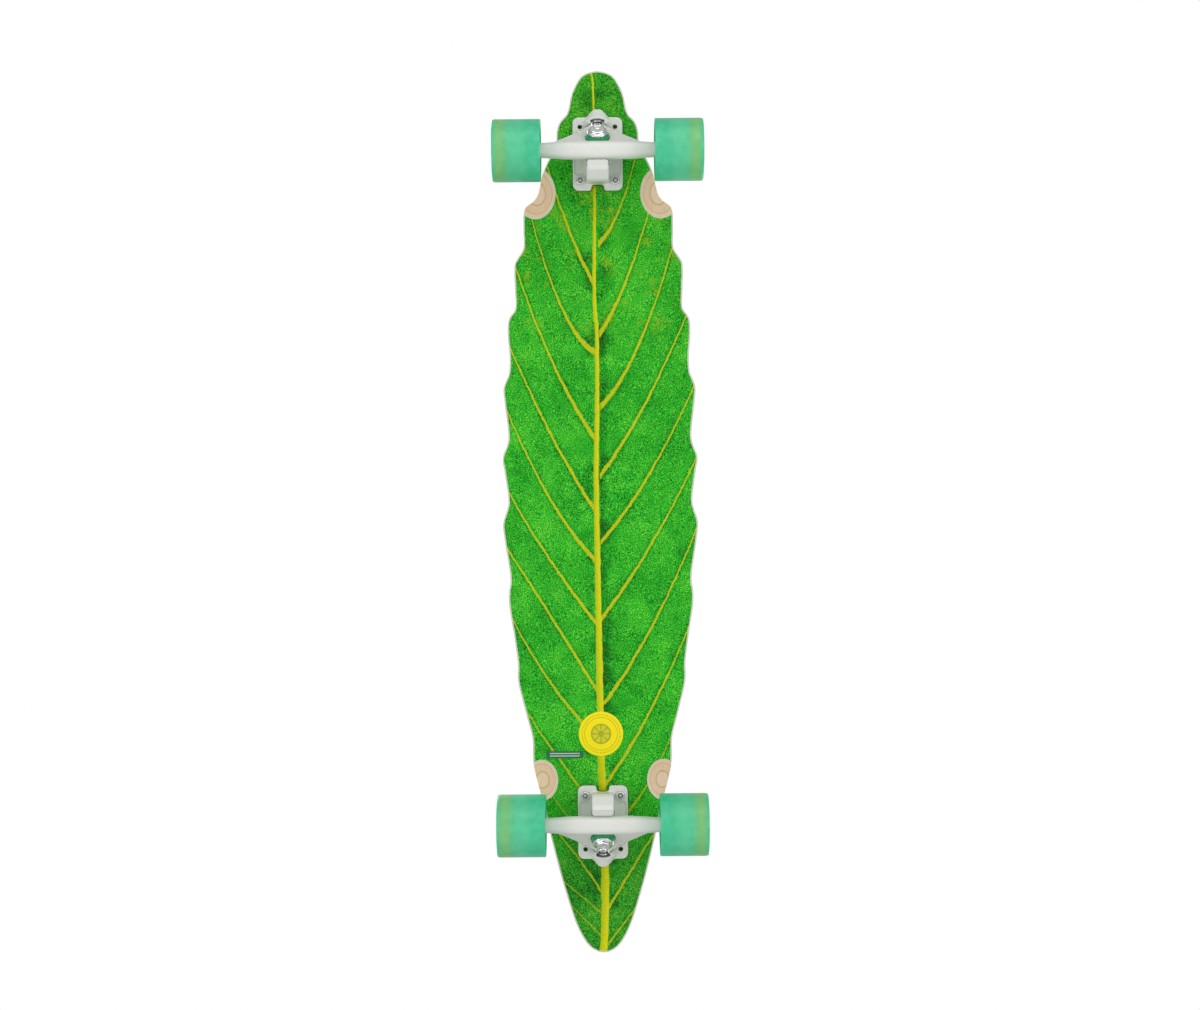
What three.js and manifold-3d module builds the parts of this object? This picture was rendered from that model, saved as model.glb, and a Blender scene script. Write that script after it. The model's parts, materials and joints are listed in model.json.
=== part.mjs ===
// A pintail longboard with a leaf-shaped deck and two reverse-kingpin trucks.
// Millimetres. +X is the nose, +Y the left side, +Z up.
// The origin is on the ground under the middle of the deck.
import * as THREE from 'three';
import { mergeVertices } from 'three/addons/utils/BufferGeometryUtils.js';
import Module from 'manifold-3d';

const wasm = await Module();
wasm.setup();

// ---------- Driving dimensions ----------

const GAP = 0.3;                       // room kept around a piece that sits in or on another

const DECK_THICKNESS = 11;
const GRIP_THICKNESS = 0.8;
const CAMBER_HEIGHT = 9;               // how far the middle of the deck arches up
const CAMBER_CENTRE = 27.5;
const CAMBER_REACH = 342;              // the arch ends this far from its centre, short of the trucks
const FLAT_HALF_WIDTH = 32;            // the deck is flat across this strip and dished outside it
const DISH_HEIGHT = 6;
const DISH_REACH = 83;
const STRIPS = 3;                      // strips across the deck
const WELL_DEPTH = 3.5;
const WELL_BALL_HEIGHT = 12;           // half height of the flattened ball that scoops a well

const NOSE_AXLE_X = 414;
const TAIL_AXLE_X = -358.5;
const AXLE_DROP = 62;                  // from the base's deck side down to the axle
const RISER_THICKNESS = 3;

const WHEEL_RADIUS = 36;
const WHEEL_HALF_WIDTH = 27.8;
const WHEEL_SEGMENTS = 24;
const WHEEL_TRACK = 93;                // each wheel's middle, from the board's centre line

const PIVOT_ANGLE = 50;                // degrees between the pivot axis and the deck
const RAKE = 15;                       // the axle's offset from the pivot axis
const AXLE_REACH = 32.5;               // along the pivot axis, from the kingpin to the axle

const PLATE_THICKNESS = 6.5;
const PLATE_INNER_END = -37.7;
const PLATE_OUTER_END = 47.9;
const PLATE_HALF_WIDTH = 29.25;
const PLATE_CORNER = 7;
const TONGUE = [                       // the plate's pointed outer end
  [47.9, -13], [52.9, -9], [56, -5.8], [57.2, -2.6], [57.2, 2.6], [56, 5.8], [52.9, 9], [47.9, 13],
];
const NOTCH_HALF_WIDTH = 7.5;
const NOTCH_DEPTH = 7;
const HOLE_HALF_GAUGE = 20.65;         // half of the 41.3 mm hole spacing across the board
const BOLT_STATIONS = [26.9, -26.9];   // the 53.8 mm bolt spacing along the board
const SPARE_HOLE_STATION = 36.6;       // the long pattern's outer pair, left empty
const HOLE_RADIUS = 2.7;

const SEAT_LEVEL = -21.8;              // where the base carries the bushings, along the kingpin
const SEAT_WALL = 5;
const SEAT_RADIUS = 14.5;
const BUSHING_NEAR = 4.8;              // a bushing's two ends, from the pivot axis
const BUSHING_FAR = 19.2;
const WASHER_NEAR = 19.5;
const WASHER_FAR = 21.5;
const KINGPIN_RADIUS = 4.76;
const KINGPIN_END = 30;
const KINGPIN_NUT_END = 32;
const RING_RADIUS = 21;
const RING_ROAD_END = 12.5;            // the ring's two rims, from the pivot axis
const RING_BOARD_END = -7;
const RING_RECESS = 14.4;
const FIN_HALF_WIDTH = 12.5;
const CUP_RADIUS = 7.5;
const CUP_START = 44.8;
const CUP_END = 54.6;
const BAR_RADIUS = 10.5;
const BAR_HALF_LENGTH = 80;
const AXLE_RADIUS = 4;
const AXLE_HALF_LENGTH = 116;

const BOLT_RADIUS = 2.3;
const BOLT_HEAD_RADIUS = 4.7;
const BOLT_HEAD_DEPTH = 2.8;

// Heights worked out from the wheels up. A wheel rests on one of its flats.
const AXLE_HEIGHT = WHEEL_RADIUS * Math.cos(Math.PI / WHEEL_SEGMENTS);
const BASE_HEIGHT = AXLE_HEIGHT + AXLE_DROP;
const RISER_GAP = 0.05;
const DECK_UNDERSIDE = BASE_HEIGHT + RISER_THICKNESS + 2 * RISER_GAP;
const DECK_TOP = DECK_UNDERSIDE + DECK_THICKNESS;

// The leaf's edge from nose to tail: place along the board, half width there.
// Each lobe of the leaf swells out quickly and draws back in slowly, and bends need more points.
const LEAF_EDGE = [
  [518, 5.5], [512, 18.2], [493, 29.4], [468, 35.8],
  [458, 44.1], [448, 47.6], [435, 48.5], [425, 51], [413, 58.2], [398, 64.6], [373, 70.9],
  [366, 75.8], [359, 84.6], [353, 87.3], [331, 88.1], [310, 88.5],
  [300, 94.5], [293, 98.5], [284, 99.3], [261, 98.7], [239, 99],
  [230, 105.2], [223, 107.3], [206, 107.5], [183, 105.8], [164, 106.9],
  [155, 110.5], [146, 113.4], [131, 112.4], [89, 108.1],
  [79, 109.9], [64, 115.2], [49, 113.2], [12, 108.7],
  [2, 110.8], [-13, 115.2], [-33, 113.4], [-80, 106.9],
  [-94, 108.7], [-108, 108.7], [-151, 102.2], [-180, 98.7],
  [-198, 98.7], [-240, 88.7], [-266, 82.2],
  [-296, 81.1], [-339, 71], [-397, 57.6], [-444, 45.2],
  [-491, 29.4], [-511, 16.5], [-518, 5.5],
];

// The scoops that clear the wheels: place along, place across, half length, half width.
const WHEEL_WELLS = [
  { x: 374.5, y: 78.6, halfLength: 30, halfWidth: 25 },
  { x: -315, y: 74.7, halfLength: 24, halfWidth: 20 },
];

// ---------- Materials ----------

function material(color, roughness, metalness) {
  return new THREE.MeshStandardMaterial({ color, roughness, metalness });
}

const leafGreen = material(0x1e8c1a, 0.4, 0);
const gripBlack = material(0x1c1c1c, 0.95, 0);
const whitePaint = material(0xe2e2dc, 0.4, 0.1);
const blackRubber = material(0x222222, 0.8, 0);
const clearRubber = material(0xd8d8c8, 0.6, 0);
const chrome = material(0xd0d0d0, 0.12, 1);
const zincSteel = material(0xb0b0ac, 0.35, 1);
const greenUrethane = material(0x1f8a4c, 0.45, 0);
const tealUrethane = material(0x52c79a, 0.3, 0);
const bearingSteel = material(0xa8aaac, 0.3, 1);

// ---------- Helpers ----------

function asSolid(geometry) {
  const bare = geometry.clone();
  bare.deleteAttribute('normal');
  bare.deleteAttribute('uv');
  const merged = mergeVertices(bare, 1e-4);
  const corners = merged.index.array;
  const kept = [];
  for (let i = 0; i < corners.length; i += 3) {
    const [a, b, c] = [corners[i], corners[i + 1], corners[i + 2]];
    if (a !== b && b !== c && c !== a) {
      kept.push(a, b, c);
    }
  }
  return new wasm.Manifold(new wasm.Mesh({
    numProp: 3,
    vertProperties: merged.attributes.position.array,
    triVerts: Uint32Array.from(kept),
  }));
}

function asGeometry(body) {
  const mesh = body.getMesh();
  const geometry = new THREE.BufferGeometry();
  geometry.setAttribute('position', new THREE.BufferAttribute(mesh.vertProperties, 3));
  geometry.setIndex(new THREE.BufferAttribute(mesh.triVerts, 1));
  return geometry;
}

function addPiece(group, name, body, surface) {
  const mesh = new THREE.Mesh(asGeometry(body), surface);
  mesh.name = name;
  group.add(mesh);
  return mesh;
}

// A turned body about Z. The profile is a closed list of [radius, height].
function turned(profile, segments = 20) {
  const points = profile.map(([radius, height]) => new THREE.Vector2(radius, height));
  if (THREE.ShapeUtils.area(points) < 0) {
    points.reverse();
  }
  points.push(points[0].clone());
  return new THREE.LatheGeometry(points, segments).rotateX(Math.PI / 2);
}

function ring(inner, outer, from, to, segments = 20) {
  return turned([[inner, from], [outer, from], [outer, to], [inner, to]], segments);
}

function rod(radius, from, to, segments = 20) {
  const length = to - from;
  const geometry = new THREE.CylinderGeometry(radius, radius, length, segments);
  return geometry.rotateX(Math.PI / 2).translate(0, 0, from + length / 2);
}

function extruded(shape, from, to, curveSegments = 5) {
  const options = { depth: to - from, bevelEnabled: false, curveSegments };
  return new THREE.ExtrudeGeometry(shape, options).translate(0, 0, from);
}

function polygon(points) {
  return new THREE.Shape(points.map(([x, y]) => new THREE.Vector2(x, y)));
}

function hexNut(acrossFlats, holeRadius, from, to) {
  const cornerRadius = acrossFlats / Math.sqrt(3);
  const corners = [];
  for (let i = 0; i < 6; i += 1) {
    const angle = (i * Math.PI) / 3;
    corners.push([cornerRadius * Math.cos(angle), cornerRadius * Math.sin(angle)]);
  }
  const shape = polygon(corners);
  shape.holes.push(circlePath(0, 0, holeRadius));
  return extruded(shape, from, to, 6);
}

function circlePath(x, y, radius) {
  return new THREE.Path().absarc(x, y, radius, 0, 2 * Math.PI, true);
}

// An arc-shaped slot or wall: part of a ring about (x, 0), between two angles from +X in degrees.
function arcStrip(x, inner, outer, fromDegrees, toDegrees) {
  const from = THREE.MathUtils.degToRad(fromDegrees);
  const to = THREE.MathUtils.degToRad(toDegrees);
  const shape = new THREE.Shape();
  shape.absarc(x, 0, outer, from, to, false);
  shape.absarc(x, 0, inner, to, from, true);
  shape.closePath();
  return shape;
}

// ---------- Deck and grip tape ----------

const DECK_STATIONS = LEAF_EDGE.length - 1;

function camber(x) {
  const share = (x - CAMBER_CENTRE) / CAMBER_REACH;
  return Math.abs(share) < 1 ? CAMBER_HEIGHT * Math.cos((Math.PI / 2) * share) ** 2 : 0;
}

function dish(y) {
  const outside = Math.max(0, Math.abs(y) - FLAT_HALF_WIDTH) / DISH_REACH;
  return DISH_HEIGHT * outside ** 2;
}

// A point of the leaf: a station along it, and one of the four lines that run its whole length.
// The strip between the middle two lines is flat, and the sides rise to the edge.
function leafPoint(station, line, level) {
  const [x, halfWidth] = LEAF_EDGE[station];
  const flat = Math.min(FLAT_HALF_WIDTH, halfWidth * 0.6);
  const y = [halfWidth, flat, -flat, -halfWidth][line];
  return [x, y, DECK_UNDERSIDE + level + camber(x) + dish(y)];
}

// A sheet that follows the deck's camber and dish, between two heights above its underside.
// Its two faces share one grid, and walls close it all round.
function leafSheet(low, high) {
  const grid = new THREE.PlaneGeometry(1, 1, DECK_STATIONS, STRIPS);
  const position = grid.attributes.position;
  const points = [];
  for (const level of [high, low]) {
    for (let i = 0; i < position.count; i += 1) {
      const station = Math.round((0.5 - position.getX(i)) * DECK_STATIONS);
      const line = Math.round((0.5 - position.getY(i)) * STRIPS);
      points.push(...leafPoint(station, line, level));
    }
  }
  const faces = [];
  const corners = grid.index.array;
  for (let i = 0; i < corners.length; i += 3) {
    const [a, b, c] = [corners[i], corners[i + 1], corners[i + 2]];
    faces.push(a, b, c);
    faces.push(a + position.count, c + position.count, b + position.count);
  }
  const rim = gridRim();
  rim.forEach((here, i) => {
    const next = rim[(i + 1) % rim.length];
    faces.push(here + position.count, next + position.count, next);
    faces.push(here + position.count, next, here);
  });
  const sheet = new THREE.BufferGeometry();
  sheet.setAttribute('position', new THREE.Float32BufferAttribute(points, 3));
  sheet.setIndex(faces);
  return asSolid(sheet);
}

// The grid's outermost points in order, anticlockwise seen from above.
function gridRim() {
  const row = DECK_STATIONS + 1;
  const rim = [];
  for (let i = 0; i < DECK_STATIONS; i += 1) {
    rim.push(STRIPS * row + i);
  }
  for (let j = STRIPS; j > 0; j -= 1) {
    rim.push(j * row + DECK_STATIONS);
  }
  for (let i = DECK_STATIONS; i > 0; i -= 1) {
    rim.push(i);
  }
  for (let j = 0; j < STRIPS; j += 1) {
    rim.push(j * row);
  }
  return rim;
}

function everyBoltPlace() {
  const places = [];
  for (const station of BOLT_STATIONS) {
    for (const side of [1, -1]) {
      places.push([NOSE_AXLE_X + station, side * HOLE_HALF_GAUGE]);
      places.push([TAIL_AXLE_X - station, side * HOLE_HALF_GAUGE]);
    }
  }
  return places;
}

// The ball is sized so that it meets the underside in the well's own outline.
function wellScoop(well, side) {
  const centreDrop = WELL_BALL_HEIGHT - WELL_DEPTH;
  const sliceShare = Math.sqrt(1 - (centreDrop / WELL_BALL_HEIGHT) ** 2);
  const ball = new THREE.SphereGeometry(1, 18, 12).rotateX(Math.PI / 2);
  ball.scale(well.halfLength / sliceShare, well.halfWidth / sliceShare, WELL_BALL_HEIGHT);
  ball.translate(well.x, side * well.y, DECK_UNDERSIDE + dish(well.y) - centreDrop);
  return asSolid(ball);
}

function deckBody() {
  let deck = leafSheet(0, DECK_THICKNESS);
  const headFloor = DECK_THICKNESS - BOLT_HEAD_DEPTH;
  const countersink = turned([
    [0, -1], [BOLT_RADIUS + GAP, -1], [BOLT_RADIUS + GAP, headFloor],
    [BOLT_HEAD_RADIUS + GAP, DECK_THICKNESS], [BOLT_HEAD_RADIUS + GAP, DECK_THICKNESS + 1],
    [0, DECK_THICKNESS + 1],
  ], 10);
  for (const [x, y] of everyBoltPlace()) {
    deck = deck.subtract(asSolid(countersink.clone().translate(x, y, DECK_UNDERSIDE)));
  }
  for (const well of WHEEL_WELLS) {
    for (const side of [1, -1]) {
      deck = deck.subtract(wellScoop(well, side));
    }
  }
  return deck;
}

function gripBody() {
  let grip = leafSheet(DECK_THICKNESS, DECK_THICKNESS + GRIP_THICKNESS);
  const hole = rod(BOLT_HEAD_RADIUS + GAP, DECK_TOP - 1, DECK_TOP + 2, 10);
  for (const [x, y] of everyBoltPlace()) {
    grip = grip.subtract(asSolid(hole.clone().translate(x, y, 0)));
  }
  return grip;
}

// ---------- Truck frames ----------

// A truck's own frame: X outward along the board from the axle, Z up from the base's deck side.
// The kingpin frame's Z runs down the kingpin to its nut, its X along the pivot axis to the cup.
const kingpinTurn = THREE.MathUtils.degToRad(180 - PIVOT_ANGLE);
const kingpinFrame = new THREE.Matrix4().makeRotationY(kingpinTurn);
const axleInKingpinFrame = new THREE.Vector3(AXLE_REACH, 0, RAKE);
const pivotPoint = new THREE.Vector3(0, 0, -AXLE_DROP)
  .sub(axleInKingpinFrame.clone().applyMatrix4(kingpinFrame));
kingpinFrame.setPosition(pivotPoint);

function onKingpin(geometry) {
  return asSolid(geometry.applyMatrix4(kingpinFrame));
}

function alongPivot(geometry) {
  return geometry.rotateY(Math.PI / 2);
}

function acrossBoard(geometry) {
  return geometry.rotateX(-Math.PI / 2);
}

// ---------- Truck base, riser pad and pivot cup ----------

function plateOutline() {
  const shape = new THREE.Shape();
  const left = PLATE_INNER_END + PLATE_CORNER;
  const right = PLATE_OUTER_END - PLATE_CORNER;
  const side = PLATE_HALF_WIDTH - PLATE_CORNER;
  shape.absarc(left, -side, PLATE_CORNER, Math.PI, 1.5 * Math.PI, false);
  shape.absarc(right, -side, PLATE_CORNER, -0.5 * Math.PI, 0, false);
  TONGUE.forEach(([x, y]) => shape.lineTo(x, y));
  shape.absarc(right, side, PLATE_CORNER, 0, 0.5 * Math.PI, false);
  shape.absarc(left, side, PLATE_CORNER, 0.5 * Math.PI, Math.PI, false);
  shape.lineTo(PLATE_INNER_END, NOTCH_HALF_WIDTH);
  shape.lineTo(PLATE_INNER_END + NOTCH_DEPTH, NOTCH_HALF_WIDTH);
  shape.lineTo(PLATE_INNER_END + NOTCH_DEPTH, -NOTCH_HALF_WIDTH);
  shape.lineTo(PLATE_INNER_END, -NOTCH_HALF_WIDTH);
  shape.closePath();
  for (const station of [...BOLT_STATIONS, SPARE_HOLE_STATION]) {
    for (const y of [HOLE_HALF_GAUGE, -HOLE_HALF_GAUGE]) {
      shape.holes.push(circlePath(station, y, HOLE_RADIUS));
    }
  }
  return shape;
}

// The fin rises from the plate to hold the pivot cup. Its front follows the hanger's neck.
function finBody() {
  const front = [[44.5, 12.5], [44.5, -11], [22, -11], [17, -14], [15, -21.8], [-15, -21.8]];
  const inTruck = front.map(([x, z]) => {
    const point = new THREE.Vector3(x, 0, z).applyMatrix4(kingpinFrame);
    return [point.x, point.z];
  });
  const foot = [[0, -4], [-29.5, -4], [-30.5, -8]];
  const back = [[-35.5, -60], [-33.5, -65.4], [-24, -75], [-19.5, -76.7]];
  const outline = polygon([...inTruck, ...foot, ...back]);
  return asSolid(extruded(outline, -FIN_HALF_WIDTH, FIN_HALF_WIDTH).rotateX(Math.PI / 2));
}

// The plate's outer end is a bowl under the hanger's ring, with a raised wall round it. In front
// the wall steps outward, and a slot runs between it and the bowl.
const BOWL_CENTRE = 24.5;
const BOWL_RADIUS = 17;
const WALL_THICKNESS = 3.8;
const WALL_LEVEL = -13;

function basePlateBody() {
  const wallFoot = 1 - PLATE_THICKNESS;
  const slotOuter = BOWL_RADIUS + WALL_THICKNESS;
  const frontWall = arcStrip(BOWL_CENTRE, slotOuter, slotOuter + WALL_THICKNESS, -40, 40);
  const leftWall = arcStrip(BOWL_CENTRE, BOWL_RADIUS, slotOuter + 0.1, 27, 62);
  const rightWall = arcStrip(BOWL_CENTRE, BOWL_RADIUS, slotOuter + 0.1, -62, -27);
  const slot = arcStrip(BOWL_CENTRE, BOWL_RADIUS - 0.5, slotOuter, -25, 25);
  const bowl = rod(BOWL_RADIUS, -PLATE_THICKNESS - 1, -4.5, 20).translate(BOWL_CENTRE, 0, 0);
  const ringSweep = new THREE.SphereGeometry(RING_RADIUS + 2.2, 20, 12)
    .translate(pivotPoint.x, 0, pivotPoint.z);
  const aboveBase = new THREE.BoxGeometry(200, 100, 60).translate(0, 0, 30);
  const headLevel = SEAT_LEVEL - SEAT_WALL;

  let base = asSolid(extruded(plateOutline(), -PLATE_THICKNESS, 0, 4)).subtract(asSolid(bowl));
  for (const wall of [frontWall, leftWall, rightWall]) {
    base = base.add(asSolid(extruded(wall, WALL_LEVEL, wallFoot)));
  }
  base = base.subtract(asSolid(extruded(slot, WALL_LEVEL, 1)));
  base = base.add(onKingpin(rod(SEAT_RADIUS, SEAT_LEVEL - 14, SEAT_LEVEL, 20))).add(finBody());
  base = base.subtract(asSolid(aboveBase));
  base = base.subtract(onKingpin(rod(SEAT_RADIUS + 1.5, SEAT_LEVEL, 40, 20)));
  base = base.subtract(asSolid(ringSweep));
  base = base.subtract(onKingpin(rod(KINGPIN_RADIUS + GAP, SEAT_LEVEL - 20, 0, 12)));
  base = base.subtract(onKingpin(rod(7.9, headLevel - 30, headLevel, 12)));
  const pocket = alongPivot(rod(CUP_RADIUS + GAP, 30, CUP_END + GAP, 16));
  return base.subtract(onKingpin(pocket));
}

function riserBody() {
  const pad = plateOutline();
  const window = polygon([[-18, -10], [-18, 10], [12, 10], [12, -10]]);
  pad.holes.push(window);
  return asSolid(extruded(pad, RISER_GAP, RISER_GAP + RISER_THICKNESS, 3));
}

// The hanger's nose turns in this cup.
const NOSE_PROFILE = [[6.5, 40], [6.5, 43], [5.2, 50], [3.4, 51.6], [0, 52]];

function cupBody() {
  const profile = [
    [CUP_RADIUS, CUP_START], [CUP_RADIUS, CUP_END], [0, CUP_END], [0, 52.5],
    [3.7, 52.1], [5.6, 50.3], [6.7, CUP_START],
  ];
  return onKingpin(alongPivot(turned(profile, 16)));
}

// ---------- Kingpin stack ----------

function kingpinBody() {
  const headTop = SEAT_LEVEL - SEAT_WALL - GAP;
  const profile = [
    [0, headTop - 5.8], [6.7, headTop - 5.8], [7.3, headTop - 5.2], [7.3, headTop],
    [KINGPIN_RADIUS, headTop], [KINGPIN_RADIUS, KINGPIN_END - 1],
    [KINGPIN_RADIUS - 0.8, KINGPIN_END], [0, KINGPIN_END],
  ];
  return onKingpin(turned(profile, 12));
}

function kingpinNutBody() {
  return onKingpin(hexNut(14.3, KINGPIN_RADIUS + GAP, WASHER_FAR + GAP, KINGPIN_NUT_END));
}

// A bushing tapers away from the pivot axis. Direction +1 is the road side, -1 the board side.
function bushingBody(direction) {
  const bore = KINGPIN_RADIUS + GAP;
  const near = direction * BUSHING_NEAR;
  const far = direction * BUSHING_FAR;
  const profile = [[bore, near], [14, near], [14, near * 1.6], [13.4, far * 0.87], [12, far], [bore, far]];
  return onKingpin(turned(profile, 18));
}

function washerBody(direction) {
  const levels = [direction * WASHER_NEAR, direction * WASHER_FAR].sort((a, b) => a - b);
  return onKingpin(ring(KINGPIN_RADIUS + GAP, 12, levels[0], levels[1], 16));
}

// ---------- Hanger and axle ----------

function hangerBody() {
  const seatRing = turned([
    [9, -4.5], [RING_RECESS, -4.5], [RING_RECESS, RING_BOARD_END], [RING_RADIUS, RING_BOARD_END],
    [RING_RADIUS, RING_ROAD_END], [RING_RECESS, RING_ROAD_END], [RING_RECESS, 4.5], [9, 4.5],
  ], 22);
  const bushingRoom = rod(RING_RECESS, 4.5, 30, 22);
  const bar = acrossBoard(turned([
    [0, -BAR_HALF_LENGTH], [8.2, -BAR_HALF_LENGTH], [BAR_RADIUS, -40], [BAR_RADIUS, 40],
    [8.2, BAR_HALF_LENGTH], [0, BAR_HALF_LENGTH],
  ], 16)).translate(AXLE_REACH, 0, RAKE);
  const bore = acrossBoard(rod(AXLE_RADIUS + GAP, -90, 90, 12)).translate(AXLE_REACH, 0, RAKE);
  const neck = alongPivot(rod(8, 15, 42.3, 16));
  const nose = alongPivot(turned([[0, 40], ...NOSE_PROFILE], 14));
  const block = new THREE.BoxGeometry(18, 28, RAKE).translate(AXLE_REACH, 0, RAKE / 2);

  // The ring's road rim reaches out toward the plate's lip, and clears the bolt nuts when steered.
  const halfRim = [[-30, 4], [-25.5, 10.2], [-19.5, 16], [-10, 20]];
  const otherHalf = halfRim.map(([x, y]) => [x, -y]).reverse();
  const frontRim = extruded(polygon([...halfRim, ...otherHalf]), 8, RING_ROAD_END - 0.5);

  let hanger = onKingpin(seatRing).add(onKingpin(frontRim));
  for (const piece of [bar, neck, nose, block]) {
    hanger = hanger.add(onKingpin(piece));
  }
  for (const side of [1, -1]) {
    const corners = [[-14.5, 15.2], [-12.3, 21.5], [-7, 29], [0, 38], [6, 46], [17, 60], [26, 60],
      [26, 20], [7, 16]];
    const arm = polygon(corners.map(([x, y]) => [x, side * y]));
    hanger = hanger.add(onKingpin(extruded(arm, 0, 12)));
  }
  return hanger.subtract(onKingpin(bushingRoom)).subtract(onKingpin(bore));
}

function axleBody() {
  const tip = AXLE_RADIUS - 0.8;
  const rodWithTips = acrossBoard(turned([
    [0, -AXLE_HALF_LENGTH], [tip, -AXLE_HALF_LENGTH], [AXLE_RADIUS, 1 - AXLE_HALF_LENGTH],
    [AXLE_RADIUS, AXLE_HALF_LENGTH - 1], [tip, AXLE_HALF_LENGTH], [0, AXLE_HALF_LENGTH],
  ], 12));
  return asSolid(rodWithTips.translate(0, 0, -AXLE_DROP));
}

// ---------- Wheel, bearings, spacer and nut, each about its own axle line ----------

const BEARING_NEAR = 5.1;
const BEARING_FAR = 12.1;
const BEARING_SEAT = 11.3;

function wheelBody() {
  const outer = [
    [9, 5], [BEARING_SEAT, 5], [BEARING_SEAT, 12.4], [15, 13.6],
    [30.5, WHEEL_HALF_WIDTH], [33.8, WHEEL_HALF_WIDTH], [WHEEL_RADIUS, 23.5],
  ];
  const inner = outer.map(([radius, across]) => [radius, -across]).reverse();
  const flatTurn = Math.PI / WHEEL_SEGMENTS;
  return asSolid(acrossBoard(turned([...outer, ...inner], WHEEL_SEGMENTS).rotateZ(flatTurn)));
}

function bearingBody(direction) {
  const levels = [direction * BEARING_NEAR, direction * BEARING_FAR].sort((a, b) => a - b);
  return asSolid(acrossBoard(ring(AXLE_RADIUS + GAP, 11, levels[0], levels[1], 14)));
}

function spacerBody() {
  return asSolid(acrossBoard(ring(AXLE_RADIUS + GAP, 5.6, GAP - BEARING_NEAR, BEARING_NEAR - GAP, 12)));
}

function axleNutBody(side) {
  const levels = [side * 13.2, side * 19.4].sort((a, b) => a - b);
  return asSolid(acrossBoard(hexNut(12.7, AXLE_RADIUS + GAP, levels[0], levels[1])));
}

// ---------- Mounting bolts ----------

function boltBody() {
  const headTop = RISER_THICKNESS + 2 * RISER_GAP + DECK_THICKNESS + GAP;
  const neck = headTop - BOLT_HEAD_DEPTH;
  return asSolid(turned([
    [0, -15], [BOLT_RADIUS - 0.5, -15], [BOLT_RADIUS, -14.5], [BOLT_RADIUS, neck],
    [BOLT_HEAD_RADIUS, headTop], [0, headTop],
  ], 8));
}

function boltNutBody() {
  const top = -PLATE_THICKNESS - 0.1;
  return asSolid(hexNut(9.5, BOLT_RADIUS + GAP, top - 5.5, top));
}

// ---------- Assembly ----------

function addWheelSet(group, name, side) {
  const hub = new THREE.Group();
  hub.position.set(0, side * WHEEL_TRACK, -AXLE_DROP);
  group.add(hub);
  addPiece(hub, `${name}_wheel`, wheelBody(), tealUrethane);
  addPiece(hub, `${name}_inner_bearing`, bearingBody(-side), bearingSteel);
  addPiece(hub, `${name}_outer_bearing`, bearingBody(side), bearingSteel);
  addPiece(hub, `${name}_bearing_spacer`, spacerBody(), bearingSteel);
  addPiece(hub, `${name}_axle_nut`, axleNutBody(side), chrome);
}

function truck(name, facing) {
  const group = new THREE.Group();
  group.rotation.z = facing > 0 ? 0 : Math.PI;
  group.position.set(facing > 0 ? NOSE_AXLE_X : TAIL_AXLE_X, 0, BASE_HEIGHT);
  addPiece(group, `${name}_baseplate`, basePlateBody(), whitePaint);
  addPiece(group, `${name}_riser_pad`, riserBody(), blackRubber);
  addPiece(group, `${name}_pivot_cup`, cupBody(), clearRubber);
  addPiece(group, `${name}_kingpin`, kingpinBody(), zincSteel);
  addPiece(group, `${name}_kingpin_nut`, kingpinNutBody(), chrome);
  addPiece(group, `${name}_board_washer`, washerBody(-1), chrome);
  addPiece(group, `${name}_board_bushing`, bushingBody(-1), greenUrethane);
  addPiece(group, `${name}_road_bushing`, bushingBody(1), greenUrethane);
  addPiece(group, `${name}_road_washer`, washerBody(1), chrome);
  addPiece(group, `${name}_hanger`, hangerBody(), whitePaint);
  addPiece(group, `${name}_axle`, axleBody(), zincSteel);
  addWheelSet(group, `${name}_left`, facing);
  addWheelSet(group, `${name}_right`, -facing);
  let count = 0;
  for (const station of BOLT_STATIONS) {
    for (const side of [1, -1]) {
      count += 1;
      const bolt = addPiece(group, `${name}_bolt_${count}`, boltBody(), zincSteel);
      const nut = addPiece(group, `${name}_bolt_nut_${count}`, boltNutBody(), zincSteel);
      bolt.position.set(station, side * HOLE_HALF_GAUGE, 0);
      nut.position.set(station, side * HOLE_HALF_GAUGE, 0);
    }
  }
  return group;
}

const longboard = new THREE.Group();
addPiece(longboard, 'deck', deckBody(), leafGreen);
addPiece(longboard, 'grip_tape', gripBody(), gripBlack);
longboard.add(truck('nose', 1));
longboard.add(truck('tail', -1));

export default longboard;
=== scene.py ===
import json
import math

import bmesh
import bpy
from mathutils import Matrix, Vector


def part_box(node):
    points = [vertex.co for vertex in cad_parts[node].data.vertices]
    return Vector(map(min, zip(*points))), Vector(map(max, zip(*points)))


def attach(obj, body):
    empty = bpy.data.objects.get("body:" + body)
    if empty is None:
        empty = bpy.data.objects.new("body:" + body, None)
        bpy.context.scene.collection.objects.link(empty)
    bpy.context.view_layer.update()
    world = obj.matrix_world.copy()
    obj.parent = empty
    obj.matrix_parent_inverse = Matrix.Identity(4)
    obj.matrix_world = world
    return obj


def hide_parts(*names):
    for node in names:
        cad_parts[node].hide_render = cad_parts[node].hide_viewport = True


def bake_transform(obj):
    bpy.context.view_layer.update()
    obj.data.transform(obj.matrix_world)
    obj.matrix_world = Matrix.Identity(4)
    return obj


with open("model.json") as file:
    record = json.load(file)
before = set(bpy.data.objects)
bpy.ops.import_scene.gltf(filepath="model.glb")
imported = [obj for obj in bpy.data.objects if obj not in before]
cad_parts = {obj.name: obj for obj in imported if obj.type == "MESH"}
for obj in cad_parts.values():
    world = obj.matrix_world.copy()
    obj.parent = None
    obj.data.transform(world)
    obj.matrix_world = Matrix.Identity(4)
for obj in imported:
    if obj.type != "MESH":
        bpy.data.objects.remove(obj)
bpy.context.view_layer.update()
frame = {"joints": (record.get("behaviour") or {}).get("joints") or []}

# A pintail longboard with a leaf-shaped deck, seen from below as it stands on its wheels.
# Shapes are drawn in millimetres in a truck's own frames, and placed in the row frame in metres.
MM = 0.001

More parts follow.
